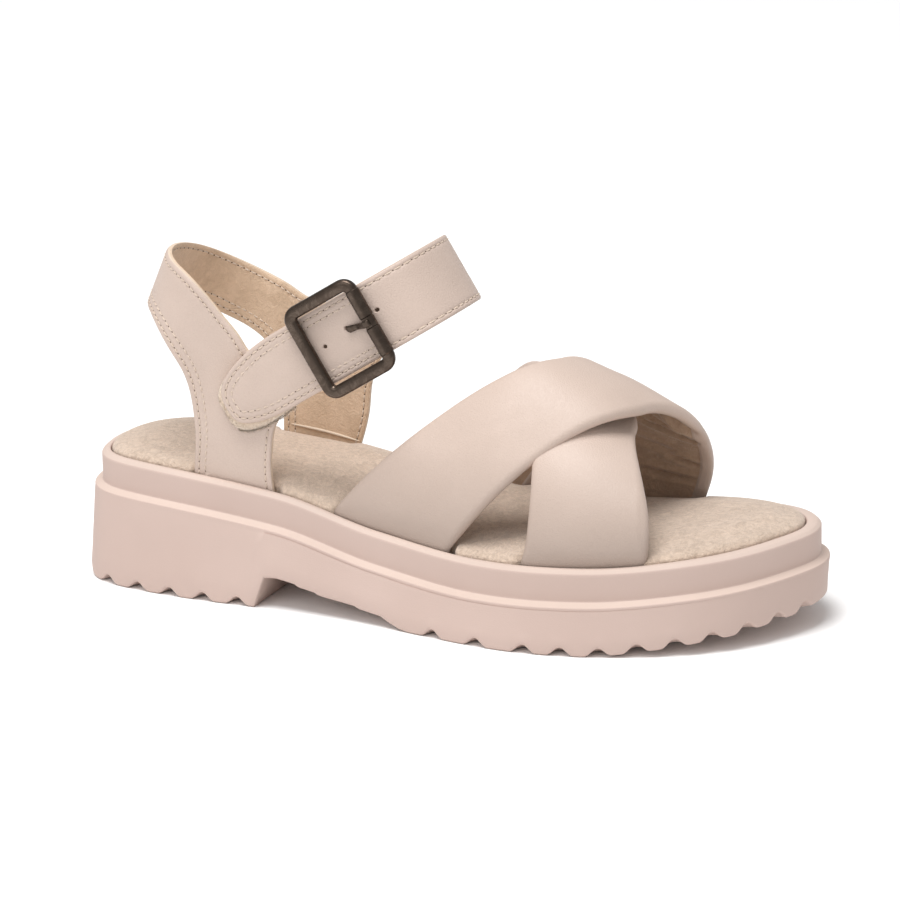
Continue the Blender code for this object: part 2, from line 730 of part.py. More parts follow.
def on_arm(along, across):
    """Pattern place of a point given along and across the instep strap: around and height."""
    x = LOOP_X + along * LOOP_COS - across * LOOP_SIN
    z = LOOP_Z + along * LOOP_SIN + across * LOOP_COS
    return HEEL_ARC + x - heel_centre(z), z


def on_pattern(rows, sign):
    return [(sign * around * QUARTER_REACH, LEG_LEVEL + up * SLING_RISE) for around, up in rows]


def leg_foot(share, sign):
    """Pattern place of a foot corner of a leg, on the floor of the recess."""
    around = share * QUARTER_REACH
    z = LEG_LEVEL
    for _ in range(6):
        x = heel_centre(z) + around - HEEL_ARC
        z = float(rim_height(x)) - RECESS_DEPTH + SEAT_GAP
    return sign * around, z


def quarter_outline():
    """The quarter's flat pattern, as one closed outline from the lateral front foot round to it again."""
    half = ARM_WIDTH / 2

    def arm(sign, places):
        placed = [on_arm(along * half, across * half) for along, across in places]
        return [(sign * around, z) for around, z in placed]

    lateral_lower, lateral_end, lateral_upper = (arm(-1, places) for places in LATERAL_ARM)
    medial_upper, medial_end, medial_lower = (arm(1, places) for places in MEDIAL_ARM)
    lateral_feet, medial_feet = LEG_FEET["lateral"], LEG_FEET["medial"]
    top = on_pattern(SLING_TOP["lateral"], -1) + on_pattern(SLING_TOP["medial"], 1)
    bottom = (on_pattern(reversed(LEG_REAR["medial"]), 1) + on_pattern(reversed(SLING_FOOT["medial"]), 1)
              + on_pattern(SLING_FOOT["lateral"], -1) + on_pattern(LEG_REAR["lateral"], -1))
    runs = [
        [leg_foot(lateral_feet[1], -1)] + on_pattern(LEG_FRONT["lateral"], -1) + lateral_lower,
        lateral_end,
        lateral_upper,
        [lateral_upper[-1]] + top + [medial_upper[0]],
        medial_upper,
        medial_end,
        medial_lower + on_pattern(reversed(LEG_FRONT["medial"]), 1) + [leg_foot(medial_feet[1], 1)],
        [leg_foot(medial_feet[1], 1), leg_foot(sum(medial_feet) / 2, 1), leg_foot(medial_feet[0], 1)],
        [leg_foot(medial_feet[0], 1)] + bottom + [leg_foot(lateral_feet[0], -1)],
        [leg_foot(lateral_feet[0], -1), leg_foot(sum(lateral_feet) / 2, -1), leg_foot(lateral_feet[1], -1)],
    ]
    outline = []
    for run in runs:
        curve, reach = spline(run, False, 200)
        count = max(1, round(reach / PATTERN_STEP))
        picked = np.linspace(0, len(curve) - 1, count + 1).round().astype(int)
        outline += [tuple(curve[k]) for k in picked[:-1]]
    return np.array(outline)


def inside(outline, point):
    """Whether a flat point lies inside a closed outline."""
    x, y = point
    a, b = outline, np.roll(outline, -1, axis=0)
    crosses = (a[:, 1] > y) != (b[:, 1] > y)
    rise = np.where(crosses, b[:, 1] - a[:, 1], 1.0)
    at = a[:, 0] + (y - a[:, 1]) * (b[:, 0] - a[:, 0]) / rise
    return np.count_nonzero(crosses & (x < at)) % 2 == 1


def edge_distance(outline, point):
    a, b = outline, np.roll(outline, -1, axis=0)
    along = np.clip(((point - a) * (b - a)).sum(1) / ((b - a) ** 2).sum(1), 0, 1)
    return np.linalg.norm(point - a - along[:, None] * (b - a), axis=1).min()


def pattern_triangles(outline, step):
    """Triangles that fill a flat pattern evenly."""
    low, high = outline.min(0), outline.max(0)
    points = [tuple(p) for p in outline]
    row = 0
    v = low[1]
    while v < high[1]:
        u = low[0] + (row % 2) * step / 2
        while u < high[0]:
            point = np.array([u, v])
            if inside(outline, point) and edge_distance(outline, point) > step * 0.55:
                points.append((u, v))
            u += step
        v += step * math.sqrt(3) / 2
        row += 1
    scale = 1000.0
    scaled = [(p[0] * scale, p[1] * scale) for p in points]
    count = len(outline)
    filled = geometry.delaunay_2d_cdt(scaled, [], [list(range(count))], 1, 1e-6)
    verts = [(v[0] / scale, v[1] / scale) for v in filled[0]]
    rim = [i for i in range(len(verts)) if filled[3][i] and filled[3][i][0] < count]
    rim.sort(key=lambda i: filled[3][i][0])
    return verts, filled[2], rim


def make_quarter():
    verts, faces, rim = pattern_triangles(quarter_outline(), PATTERN_STEP)
    bm = bmesh.new()
    lining = add_ring(bm, [quarter_point(u, v, 0.0) for u, v in verts])
    outer = add_ring(bm, [quarter_point(u, v, QUARTER_WALL) for u, v in verts])
    for face in faces:
        bm.faces.new([outer[i] for i in face])
        bm.faces.new([lining[i] for i in reversed(face)])
    for i, j in zip(rim, rim[1:] + rim[:1]):
        bm.faces.new((outer[j], outer[i], lining[i], lining[j]))
    return new_object("heel_quarter", bm)


def loop_frame(run):
    """Place, direction and outward normal of the loop at a distance along it."""
    at = np.linspace(0, LOOP_RUN, len(LOOP_CURVE))
    near = LOOP_RUN / 400
    here = np.array([np.interp(run, at, LOOP_CURVE[:, k]) for k in (0, 1)])
    ahead = np.array([np.interp(run + near, at, LOOP_CURVE[:, k]) for k in (0, 1)])
    behind = np.array([np.interp(run - near, at, LOOP_CURVE[:, k]) for k in (0, 1)])
    way = (ahead - behind) / np.linalg.norm(ahead - behind)
    return here, way, np.array([way[1], -way[0]])


def loop_run(along, side):
    """Distance along the loop of the point at a place along the strap, on one side."""
    at = np.linspace(0, LOOP_RUN, len(LOOP_CURVE))
    half = slice(0, NOSE + 1) if side == "lateral" else slice(NOSE, None)
    curve, runs = LOOP_CURVE[half, 0], at[half]
    order = np.argsort(curve)
    return float(np.interp(along, curve[order], runs[order]))


def loop_point(run, across, depth):
    """A point by its distance along the loop, its height across it and its depth out from the lining."""
    here, _, out = loop_frame(run)
    along, aside = here + out * depth
    return (LOOP_X + along * LOOP_COS - across * LOOP_SIN, aside,
            LOOP_Z + along * LOOP_SIN + across * LOOP_COS)


PATCH_DEPTH = QUARTER_WALL + GAP
STRAP_DEPTH = PATCH_DEPTH + PATCH_WALL + GAP
tab_lower, tab_upper = smooth_table(TAB, 1), smooth_table(TAB, 2)


def make_instep_strap():
    bm = bmesh.new()
    first, last = loop_run(-TAB_END, "lateral"), loop_run(-STRAP_START, "medial")
    tab = [first + row[0] * STRAP_WIDTH for row in TAB]
    rest = np.linspace(tab[-1], last, 34)[1:]
    half = STRAP_WIDTH / 2
    edge = STRAP_WALL * 0.25
    nose_run = LOOP_RUN * NOSE / len(LOOP_CURVE)
    sections = []
    for run in list(tab) + list(rest):
        share = (run - first) / STRAP_WIDTH
        lower, upper = half * float(tab_lower(share)), half * float(tab_upper(share))
        past = min(1.0, max(0.0, (run - nose_run) / (last - nose_run) * 1.6))
        settle = past * past * (3 - 2 * past)
        deep = STRAP_DEPTH + (QUARTER_WALL + GAP - STRAP_DEPTH) * settle
        out = deep + STRAP_WALL
        shape = ((lower, deep), (lower, out - edge), (lower + edge, out), ((lower + upper) / 2, out),
                 (upper - edge, out), (upper, out - edge), (upper, deep), ((lower + upper) / 2, deep))
        sections.append([loop_point(run, across, depth) for across, depth in shape])
    tube_of_sections(bm, sections)
    return new_object("instep_strap", bm)


def make_patch():
    bm = bmesh.new()
    first = loop_run(-TAB_END - PATCH_SHOW, "lateral")
    half = STRAP_WIDTH / 2
    sections = []
    for share in (0.0, 0.04, 0.12, 0.25, 0.45, 0.70, 1.0):
        run = first + share * PATCH_LENGTH
        at = share * PATCH_LENGTH / STRAP_WIDTH
        lower = (half + PATCH_SHOW * (1 - share)) * float(tab_lower(at))
        upper = half * float(tab_upper(at)) * 0.9
        shape = ((lower, PATCH_DEPTH), (lower, PATCH_DEPTH + PATCH_WALL),
                 (upper, PATCH_DEPTH + PATCH_WALL), (upper, PATCH_DEPTH))
        sections.append([loop_point(run, across, depth) for across, depth in shape])
    tube_of_sections(bm, sections)
    return new_object("fastening_patch", bm)


BUCKLE_RUN = loop_run(-BUCKLE_BACK, "lateral")
BUCKLE_LIFT = STRAP_DEPTH + STRAP_WALL + GAP + ROLLER_DIAMETER / 2
BAR_ALONG = (BUCKLE_ALONG - BUCKLE_WIRE) / 2
BAR_ACROSS = (BUCKLE_ACROSS - BUCKLE_WIRE) / 2


def buckle_point(along, across, lift):
    """A point in the buckle's own plane, which lies flat on the strap."""
    here, way, out = loop_frame(BUCKLE_RUN)
    flat = here + way * along + out * (BUCKLE_LIFT + lift)
    return (LOOP_X + flat[0] * LOOP_COS - across * LOOP_SIN, flat[1],
            LOOP_Z + flat[0] * LOOP_SIN + across * LOOP_COS)


def make_frame():
    bm = bmesh.new()
    path = []
    turns = 4
    for quarter in range(4):
        sx, sy = ((1, 1), (-1, 1), (-1, -1), (1, -1))[quarter]
        for k in range(turns + 1):
            turn = (quarter + k / turns) * math.pi / 2
            path.append((sx * (BAR_ALONG - BUCKLE_CORNER) + BUCKLE_CORNER * math.cos(turn),
                         sy * (BAR_ACROSS - BUCKLE_CORNER) + BUCKLE_CORNER * math.sin(turn), turn))
    sides = 8
    sections = []
    for along, across, turn in path:
        ring = []
        for k in range(sides):
            spin = 2 * math.pi * (k + 0.5) / sides
            reach = BUCKLE_WIRE / 2 * math.cos(spin)
            ring.append(buckle_point(along + reach * math.cos(turn), across + reach * math.sin(turn),
                                     BUCKLE_WIRE / 2 * math.sin(spin)))
        sections.append(ring)
    tube_of_sections(bm, sections, closed=True)
    return new_object("buckle_frame", bm)


def make_roller():
    """A sleeve on the front bar, open on its rear side at the middle for the prong."""
    bm = bmesh.new()
    outer, bore = ROLLER_DIAMETER / 2, BUCKLE_WIRE / 2 + GAP
    slot = PRONG_WIDTH / 2 + GAP * 2
    half = ROLLER_LENGTH / 2
    sides = 12

    turns = [2 * math.pi * (k + 0.5) / sides for k in range(sides)]

    def ring(radius, across):
        return add_ring(bm, [buckle_point(BAR_ALONG + radius * math.cos(turn), across, radius * math.sin(turn))
                             for turn in turns])

    places = (-half, -slot, slot, half)
    shells = {name: [ring(radius, place) for place in places] for name, radius in (("out", outer), ("in", bore))}
    open_sides = [k for k in range(sides) if math.cos(2 * math.pi * (k + 1) / sides) < 0.3]
    for name in ("out", "in"):
        for span in range(3):
            for k in range(sides):
                if span == 1 and k in open_sides:
                    continue
                a, b = shells[name][span], shells[name][span + 1]
                bm.faces.new((a[k], a[(k + 1) % sides], b[(k + 1) % sides], b[k]))
    for end in (0, 3):
        for k in range(sides):
            a, b = shells["out"][end], shells["in"][end]
            bm.faces.new((a[k], a[(k + 1) % sides], b[(k + 1) % sides], b[k]))
    for end in (1, 2):
        for k in open_sides:
            a, b = shells["out"][end], shells["in"][end]
            bm.faces.new((a[k], a[(k + 1) % sides], b[(k + 1) % sides], b[k]))
    for k in (open_sides[0], (open_sides[-1] + 1) % sides):
        bm.faces.new((shells["out"][1][k], shells["out"][2][k], shells["in"][2][k], shells["in"][1][k]))
    return new_object("buckle_roller", bm)


def make_prong():
    """The prong starts on top of the bar, in the roller's slot, and its tip comes down on the strap."""
    bm = bmesh.new()
    thick = ROLLER_DIAMETER / 2 - BUCKLE_WIRE / 2 + GAP
    reach = BUCKLE_WIRE / 2 + GAP + thick / 2
    floor = -ROLLER_DIAMETER / 2 + thick * 0.35
    sections = []
    for degrees, beyond, taper in PRONG:
        turn = math.radians(degrees)
        out = (math.cos(turn), math.sin(turn))
        along = reach * out[0] - out[1] * PRONG_LENGTH * beyond
        lift = reach * out[1] + out[0] * PRONG_LENGTH * beyond
        half = thick * taper / 2
        ring = []
        for across, depth in ((-1, -1), (1, -1), (1, 1), (-1, 1)):
            high = max(lift + out[1] * depth * half, floor + (depth + 1) * half)
            beside = across * taper * PRONG_WIDTH / 2
            ring.append(buckle_point(BAR_ALONG + along + out[0] * depth * half, beside, high))
        sections.append(ring)
    tube_of_sections(bm, sections)
    return new_object("buckle_prong", bm)


def centre_on_floor(items):
    """Put the origin under the middle of the shoe, on the floor."""
    corners = np.array([vert.co[:] for item in items for vert in item.data.vertices])
    low, high = corners.min(0), corners.max(0)
    shift = (-(low[0] + high[0]) / 2, -(low[1] + high[1]) / 2, -low[2])
    for item in items:
        for vert in item.data.vertices:
            vert.co.x += shift[0]
            vert.co.y += shift[1]
            vert.co.z += shift[2]


def build():
    for item in list(bpy.data.objects):
        bpy.data.objects.remove(item)
    make_sole()
    make_footbed()
    make_cross_straps()
    make_quarter()
    make_instep_strap()
    make_patch()
    make_frame()
    make_roller()
    make_prong()
    centre_on_floor([item for item in bpy.data.objects if item.type == "MESH"])


build()
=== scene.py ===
# %% [markdown]
# # A cross strap sandal, dressed in foam, suede, leather and dark metal
#
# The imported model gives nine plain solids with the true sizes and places. This lesson builds the same pieces
# again with finer surfaces, stitches and finishes, each one in its solid's place.
#
# First the frame is loaded. Everything that follows is in metres: +X to the toe, +Y to the medial side, +Z up.

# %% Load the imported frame
import math

import bmesh
import bpy
import numpy as np
from mathutils import Matrix, Vector, geometry


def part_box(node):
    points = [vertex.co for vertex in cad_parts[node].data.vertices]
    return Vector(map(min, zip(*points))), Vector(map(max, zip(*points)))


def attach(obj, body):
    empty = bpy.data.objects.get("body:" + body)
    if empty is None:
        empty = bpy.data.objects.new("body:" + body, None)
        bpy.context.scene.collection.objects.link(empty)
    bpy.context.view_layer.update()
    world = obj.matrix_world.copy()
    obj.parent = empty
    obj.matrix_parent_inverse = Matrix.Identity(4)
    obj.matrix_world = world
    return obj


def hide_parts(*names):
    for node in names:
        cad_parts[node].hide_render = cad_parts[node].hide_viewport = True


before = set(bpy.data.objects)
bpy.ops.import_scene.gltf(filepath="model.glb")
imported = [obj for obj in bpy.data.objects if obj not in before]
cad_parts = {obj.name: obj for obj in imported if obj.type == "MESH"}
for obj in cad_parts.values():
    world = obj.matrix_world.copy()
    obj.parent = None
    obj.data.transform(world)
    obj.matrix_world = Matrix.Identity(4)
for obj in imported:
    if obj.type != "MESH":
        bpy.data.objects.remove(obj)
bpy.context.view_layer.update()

MM = 0.001
print("nodes:", ", ".join(sorted(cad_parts)))

# %% [markdown]
# ## Camera
#
# The shoe is seen from its buckle side, a little from the front and above, with a long lens, so its lines hardly
# converge. A camera could be aimed with a constraint. Here its axes are worked out from three angles, because
# then the small roll of the picture is one of them.

# %% Place the camera
PICTURE_SIDE = 900
SENSOR = 36.0
VIEW_TURN = math.radians(23.712)
VIEW_RISE = math.radians(16.444)
VIEW_ROLL = math.radians(-1.278)
VIEW_DISTANCE = 1706.1 * MM
VIEW_TARGET = Vector((0.17, 2.13, 50.84)) * MM
PIXELS_PER_METRE = 2928.9


def place_camera():
    right = Vector((math.cos(VIEW_TURN), math.sin(VIEW_TURN), 0))
    back = Vector((math.sin(VIEW_TURN) * math.cos(VIEW_RISE), -math.cos(VIEW_TURN) * math.cos(VIEW_RISE),
                   math.sin(VIEW_RISE)))
    up = back.cross(right)
    across = right * math.cos(VIEW_ROLL) + up * math.sin(VIEW_ROLL)
    above = up * math.cos(VIEW_ROLL) - right * math.sin(VIEW_ROLL)
    camera = bpy.data.objects.new("camera", bpy.data.cameras.new("camera"))
    camera.data.sensor_width = SENSOR
    camera.data.lens = PIXELS_PER_METRE * VIEW_DISTANCE * SENSOR / PICTURE_SIDE
    turned = Matrix((across, above, back)).transposed().to_4x4()
    camera.matrix_world = Matrix.Translation(VIEW_TARGET + back * VIEW_DISTANCE) @ turned
    bpy.context.scene.collection.objects.link(camera)
    bpy.context.scene.camera = camera
    return camera


print("lens:", round(place_camera().data.lens, 1), "mm")

# %% [markdown]
# ## Floor and light
#
# A studio picture on white has light from every side, and one large soft lamp above and in front that gives the
# leather its gentle shading. A white sky does the first and two big area lamps do the second. The floor is a
# plain pale sheet that keeps only the soft shadow under the shoe.

# %% Floor, sky and lamps
SKY_STRENGTH = 0.50
PAPER = 0.97
FLOOR_HALF = 4.0
FLOOR_CELLS = 8
LAMPS = (
    # name, place, diameter, power
    ("lamp_above", (-0.12, -0.60, 2.60), 1.50, 64.0),
    ("lamp_front", (-0.35, -1.40, 0.90), 1.00, 4.5),
)


def add_studio():
    world = bpy.data.worlds.new("white_sky")
    bpy.context.scene.world = world
    world.use_nodes = True
    world.node_tree.nodes["Background"].inputs["Color"].default_value = (1.0, 1.0, 1.0, 1.0)
    world.node_tree.nodes["Background"].inputs["Strength"].default_value = SKY_STRENGTH
    for name, place, size, power in LAMPS:
        lamp = bpy.data.lights.new(name, "AREA")
        lamp.shape = "DISK"
        lamp.size = size
        lamp.energy = power
        item = bpy.data.objects.new(name, lamp)
        item.location = place
        item.rotation_mode = "QUATERNION"
        item.rotation_quaternion = (-Vector(place)).to_track_quat("-Z", "Y")
        bpy.context.scene.collection.objects.link(item)
    bpy.context.scene.view_settings.view_transform = "Standard"


def add_floor():
    bm = bmesh.new()
    bmesh.ops.create_grid(bm, x_segments=FLOOR_CELLS, y_segments=FLOOR_CELLS, size=FLOOR_HALF)
    mesh = bpy.data.meshes.new("floor")
    bm.to_mesh(mesh)
    bm.free()
    floor = bpy.data.objects.new("floor", mesh)
    bpy.context.scene.collection.objects.link(floor)
    finish = bpy.data.materials.new("floor_paper")
    finish.use_nodes = True
    shader = finish.node_tree.nodes["Principled BSDF"]
    shader.inputs["Base Color"].default_value = (PAPER, PAPER, PAPER, 1.0)
    shader.inputs["Roughness"].default_value = 0.9
    mesh.materials.append(finish)
    return floor


add_studio()
add_floor()
print("lamps:", len(LAMPS))

# %% [markdown]
# ## Node helpers
#
# A finish is a small net of shader nodes. Building one in code is shorter with a few helpers: they add a node with
# its values set, mix two tones or colours, and start and end a group with named sockets. A group holds an effect
# that several finishes share.

# %% Helpers for shader nodes


def add_node(tree, kind, settings=None, **links):
    """A new node. Settings go to its properties, or to its inputs by name; links feed its inputs."""
    node = tree.nodes.new(kind)
    for name, value in (settings or {}).items():
        if name in node.inputs:
            node.inputs[name].default_value = value
        else:
            setattr(node, name, value)
    for name, source in links.items():
        tree.links.new(source, node.inputs[name.replace("_", " ")])
    return node


def math_node(tree, operation, first, second):
    """A sum, product or the like of two values; each is a socket or a number."""
    node = tree.nodes.new("ShaderNodeMath")
    node.operation = operation
    for slot, value in zip(node.inputs, (first, second)):
        if isinstance(value, (int, float)):
            slot.default_value = value
        else:
            tree.links.new(value, slot)
    return node.outputs[0]


def weigh(tree, first, second, share):
    """Two tones mixed: the first by its share, the second by the rest."""
    return math_node(tree, "ADD", math_node(tree, "MULTIPLY", first, share),
                     math_node(tree, "MULTIPLY", second, 1.0 - share))


def noise(tree, where, scale, detail, roughness=0.5, distortion=0.0):
    return add_node(tree, "ShaderNodeTexNoise", {"Detail": detail, "Roughness": roughness, "Distortion": distortion},
                    Vector=where, Scale=scale).outputs["Fac"]


def spread(tree, value, low, high, to_low=0.0, to_high=1.0):
    """A value moved from one span to another, held inside the second."""
    node = add_node(tree, "ShaderNodeMapRange",
                    {"From Min": low, "From Max": high, "To Min": to_low, "To Max": to_high})
    tree.links.new(value, node.inputs["Value"])
    return node.outputs["Result"]


def mix_colours(tree, share, first, second):
    node = tree.nodes.new("ShaderNodeMix")
    node.data_type = "RGBA"
    tree.links.new(share, node.inputs[0])
    for slot, value in ((node.inputs[6], first), (node.inputs[7], second)):
        if isinstance(value, tuple):
            slot.default_value = (*value, 1.0)
        else:
            tree.links.new(value, slot)
    return node.outputs[2]


def start_group(name, **inputs):
    """A node group with a vector to place it and named values; gives the group and its input sockets."""
    group = bpy.data.node_groups.new(name, "ShaderNodeTree")
    group.interface.new_socket("Vector", in_out="INPUT", socket_type="NodeSocketVector")
    for label, value in inputs.items():
        socket = group.interface.new_socket(label.replace("_", " "), in_out="INPUT", socket_type="NodeSocketFloat")
        socket.default_value = value
    return group, group.nodes.new("NodeGroupInput").outputs


def end_group(group, **outputs):
    """Give a group its named outputs and feed them."""
    for label in outputs:
        group.interface.new_socket(label, in_out="OUTPUT", socket_type="NodeSocketFloat")
    end = group.nodes.new("NodeGroupOutput")
    for label, value in outputs.items():
        group.links.new(value, end.inputs[label])
    return group


def per_metre(group, size):
    """A texture's scale from the size of its marks."""
    return math_node(group, "DIVIDE", 1.0, size)


def place_group(tree, group, where, **values):
    node = tree.nodes.new("ShaderNodeGroup")
    node.node_tree = group
    tree.links.new(where, node.inputs["Vector"])
    for name, value in values.items():
        node.inputs[name.replace("_", " ")].default_value = value
    return node.outputs


# %% [markdown]
# ## Shared effects
#
# Four effects come back in several finishes. *Skin grain* is the small pebbling of leather and of moulded foam.
# *Nap* is the brushed fibre of suede, with cloudy patches where it lies the other way. *Cloud* is a broad, faint
# change of tone that no real hide or moulding is without. *Rubbing* is the fine scratching of handled metal.

# %% Skin grain


def make_grain():
    group, given = start_group("skin_grain", Cell_Size=0.7 * MM, Pebbling=0.5)
    scale = per_metre(group, given["Cell Size"])
    cells = add_node(group, "ShaderNodeTexVoronoi", {"feature": "SMOOTH_F1", "Smoothness": 0.6, "Randomness": 1.0},
                     Vector=given["Vector"], Scale=scale)
    pebbles = spread(group, cells.outputs["Distance"], 0.1, 0.7, 1.0, 0.0)
    pebbles = math_node(group, "MULTIPLY", pebbles, given["Pebbling"])
    height = math_node(group, "ADD", pebbles, noise(group, given["Vector"], scale, 3.0, 0.6))
    return end_group(group, Height=height, Tone=spread(group, height, 0.3, 1.1))


def make_nap():
    group, given = start_group("nap", Fibre_Size=0.9 * MM, Patch_Size=18 * MM)
    scale = per_metre(group, given["Fibre Size"])
    fibres = noise(group, given["Vector"], scale, 6.0, 0.75, 0.6)
    tufts = noise(group, given["Vector"], math_node(group, "MULTIPLY", scale, 0.35), 2.0, 0.5, 1.2)
    patches = noise(group, given["Vector"], per_metre(group, given["Patch Size"]), 4.0, 0.55, 0.9)
    height = math_node(group, "ADD", fibres, tufts)
    return end_group(group, Height=height, Tone=spread(group, height, 0.75, 1.25),
                     Patches=spread(group, patches, 0.36, 0.64))


def make_cloud():
    group, given = start_group("cloud", Size=30 * MM)
    broad = noise(group, given["Vector"], per_metre(group, given["Size"]), 3.0)
    return end_group(group, Tone=spread(group, broad, 0.32, 0.68))


def make_rubbing():
    group, given = start_group("rubbing", Mark_Size=2.5 * MM)
    marks = noise(group, given["Vector"], per_metre(group, given["Mark Size"]), 8.0, 0.7, 1.5)
    return end_group(group, Tone=spread(group, marks, 0.45, 0.70), Height=marks)


GRAIN, NAP, CLOUD, RUBBING = make_grain(), make_nap(), make_cloud(), make_rubbing()
print("effects:", [group.name for group in (GRAIN, NAP, CLOUD, RUBBING)])

# %% [markdown]
# ## Finishes
#
# Each material below is one real finish, except three copies that paint light: a paler foam for a highlight, a
# darker strap lining and a dark hole finish for shade. The even numbers, such as a sheen or a metal's polish, sit on
# the shader itself. What changes over the surface comes from the shared effects: tone into the colour, height into
# a bump, and both a little into the roughness. The cross straps' leather also darkens by height, a painted shade.

# %% Materials
# painted shade on the cross straps: near the sole their leather goes down to this share of its dark colour
SHADE_DARKNESS = 0.76
SHEEN_ROUGHNESS = 0.6
NUDE = ((0.590, 0.470, 0.403), (0.520, 0.408, 0.345))
SHADE_HEIGHTS = (28 * MM, 62 * MM)


def start_finish(name, roughness, metallic=0.0, sheen=0.0, specular=0.5):
    finish = bpy.data.materials.new(name)
    finish.use_nodes = True
    tree = finish.node_tree
    shader = tree.nodes["Principled BSDF"]
    for label, value in (("Roughness", roughness), ("Metallic", metallic), ("Sheen Weight", sheen),
                         ("Sheen Roughness", SHEEN_ROUGHNESS), ("Specular IOR Level", specular)):
        shader.inputs[label].default_value = value
    where = tree.nodes.new("ShaderNodeTexCoord").outputs["Object"]
    return finish, tree, shader, where


def cover(tree, shader, colour, height, depth, roughness=None):
    """Feed a shader its colour, a bump from a height in metres and, where it varies, its roughness."""
    tree.links.new(colour, shader.inputs["Base Color"])
    if roughness:
        tree.links.new(roughness, shader.inputs["Roughness"])
    bump = add_node(tree, "ShaderNodeBump", {"Strength": 1.0, "Distance": depth}, Height=height)
    tree.links.new(bump.outputs["Normal"], shader.inputs["Normal"])


def leather_finish(name, light, dark, cell, depth, roughness, painted_shade_heights=None):
    """Leather; if given two heights, it gets a painted shade: darker at the first, fading out at the second."""
    finish, tree, shader, where = start_finish(name, roughness, specular=0.42)
    grain = place_group(tree, GRAIN, where, Cell_Size=cell, Pebbling=0.5)
    cloud = place_group(tree, CLOUD, where, Size=26 * MM)
    colour = mix_colours(tree, weigh(tree, cloud["Tone"], grain["Tone"], 0.55), light, dark)
    if painted_shade_heights:
        # painted shade: the leather darkens toward the lower height
        height = add_node(tree, "ShaderNodeSeparateXYZ", Vector=where).outputs["Z"]
        deep = spread(tree, height, *painted_shade_heights, 1.0, 0.0)
        colour = mix_colours(tree, deep, colour, tuple(value * SHADE_DARKNESS for value in dark))
    cover(tree, shader, colour, grain["Height"], depth,
          spread(tree, grain["Tone"], 0.0, 1.0, roughness - 0.05, roughness + 0.08))
    return finish


def suede_finish(name, light, dark, fibre, patch, depth, contrast):
    finish, tree, shader, where = start_finish(name, 0.95, sheen=0.35, specular=0.2)
    nap = place_group(tree, NAP, where, Fibre_Size=fibre, Patch_Size=patch)
    share = weigh(tree, nap["Patches"], nap["Tone"], contrast)
    cover(tree, shader, mix_colours(tree, share, light, dark), nap["Height"], depth)
    return finish


def foam_finish(name, light, dark):
    finish, tree, shader, where = start_finish(name, 0.62, specular=0.35)
    grain = place_group(tree, GRAIN, where, Cell_Size=0.45 * MM, Pebbling=0.2)
    cloud = place_group(tree, CLOUD, where, Size=45 * MM)
    share = weigh(tree, cloud["Tone"], grain["Tone"], 0.7)
    cover(tree, shader, mix_colours(tree, share, light, dark), grain["Height"], 0.035 * MM,
          spread(tree, cloud["Tone"], 0.0, 1.0, 0.56, 0.68))
    return finish


def metal_finish(name, dark, worn):
    finish, tree, shader, where = start_finish(name, 0.30, metallic=1.0)
    rubbing = place_group(tree, RUBBING, where, Mark_Size=4.5 * MM)
    cover(tree, shader, mix_colours(tree, rubbing["Tone"], dark, worn), rubbing["Height"], 0.02 * MM,
          spread(tree, rubbing["Tone"], 0.0, 1.0, 0.34, 0.22))
    return finish


FOAM = foam_finish("dusty_pink_foam", (0.560, 0.430, 0.378), (0.525, 0.398, 0.348))
# the same foam, painted paler for the slopes of the ledge and the rim: a painted highlight
FOAM_HIGHLIGHT = foam_finish("foam_painted_highlight", (0.625, 0.500, 0.436), (0.590, 0.468, 0.404))
FOOTBED_SUEDE = suede_finish("beige_suede", (0.76, 0.595, 0.470), (0.51, 0.385, 0.292), 0.8 * MM, 17 * MM,
                             0.60 * MM, 0.15)
LEATHER = leather_finish("nude_leather", *NUDE, 0.50 * MM, 0.10 * MM, 0.47)
# the cross straps' leather, with a painted shade toward their feet
STRAP_LEATHER = leather_finish("padded_leather_painted_shade", *NUDE, 0.50 * MM, 0.10 * MM, 0.47, painted_shade_heights=SHADE_HEIGHTS)
LINING = suede_finish("tan_lining", (0.78, 0.59, 0.43), (0.58, 0.42, 0.285), 0.7 * MM, 14 * MM, 0.25 * MM, 0.55)
# the tan lining darkened to brown for the inside of the cross straps: painted shade
SHADED_STRAP_LINING = suede_finish("strap_lining_painted_shade", (0.47, 0.325, 0.225), (0.32, 0.210, 0.140), 0.8 * MM, 12 * MM,
                            0.3 * MM, 0.5)
CUT_EDGE = leather_finish("pale_cut_edge", (0.74, 0.63, 0.51), (0.58, 0.46, 0.36), 0.4 * MM, 0.10 * MM, 0.75)
THREAD = leather_finish("waxed_thread", (0.70, 0.58, 0.48), (0.56, 0.45, 0.36), 0.3 * MM, 0.08 * MM, 0.6)
# the dark of the needle holes and of the punched pits' floors: painted shade
HOLE_SHADE = leather_finish("painted_hole_shade", (0.14, 0.09, 0.06), (0.08, 0.05, 0.035), 0.3 * MM, 0.05 * MM, 0.9)
LOOP_FABRIC = suede_finish("brushed_loops", (0.80, 0.66, 0.53), (0.60, 0.47, 0.36), 0.6 * MM, 5 * MM, 0.4 * MM, 0.35)
BRONZE = metal_finish("dark_bronze", (0.078, 0.058, 0.046), (0.132, 0.101, 0.081))
print("finishes:", len(bpy.data.materials))

# %% [markdown]
# ## The shoe's curves
#
# Every piece follows the same few curves: the outline of the sole, the height of its rim and of its underside.
# They are short tables of shares, with a smooth curve through them. The same curves shaped the solids, so the
# finer pieces land where the solids are.

# %% Sizes and curves of the sole
SOLE_LENGTH = 262 * MM
HEEL_WIDTH = 70.5 * MM
BALL_WIDTH = 97 * MM
HEEL_HEIGHT = 45.1 * MM
FOREFOOT_HEIGHT = 27.6 * MM
TOE_LIFT = 7.1 * MM
ARCH_HEIGHT = 11.2 * MM
TOE_SPRING = 9.3 * MM
GAP = 0.3 * MM

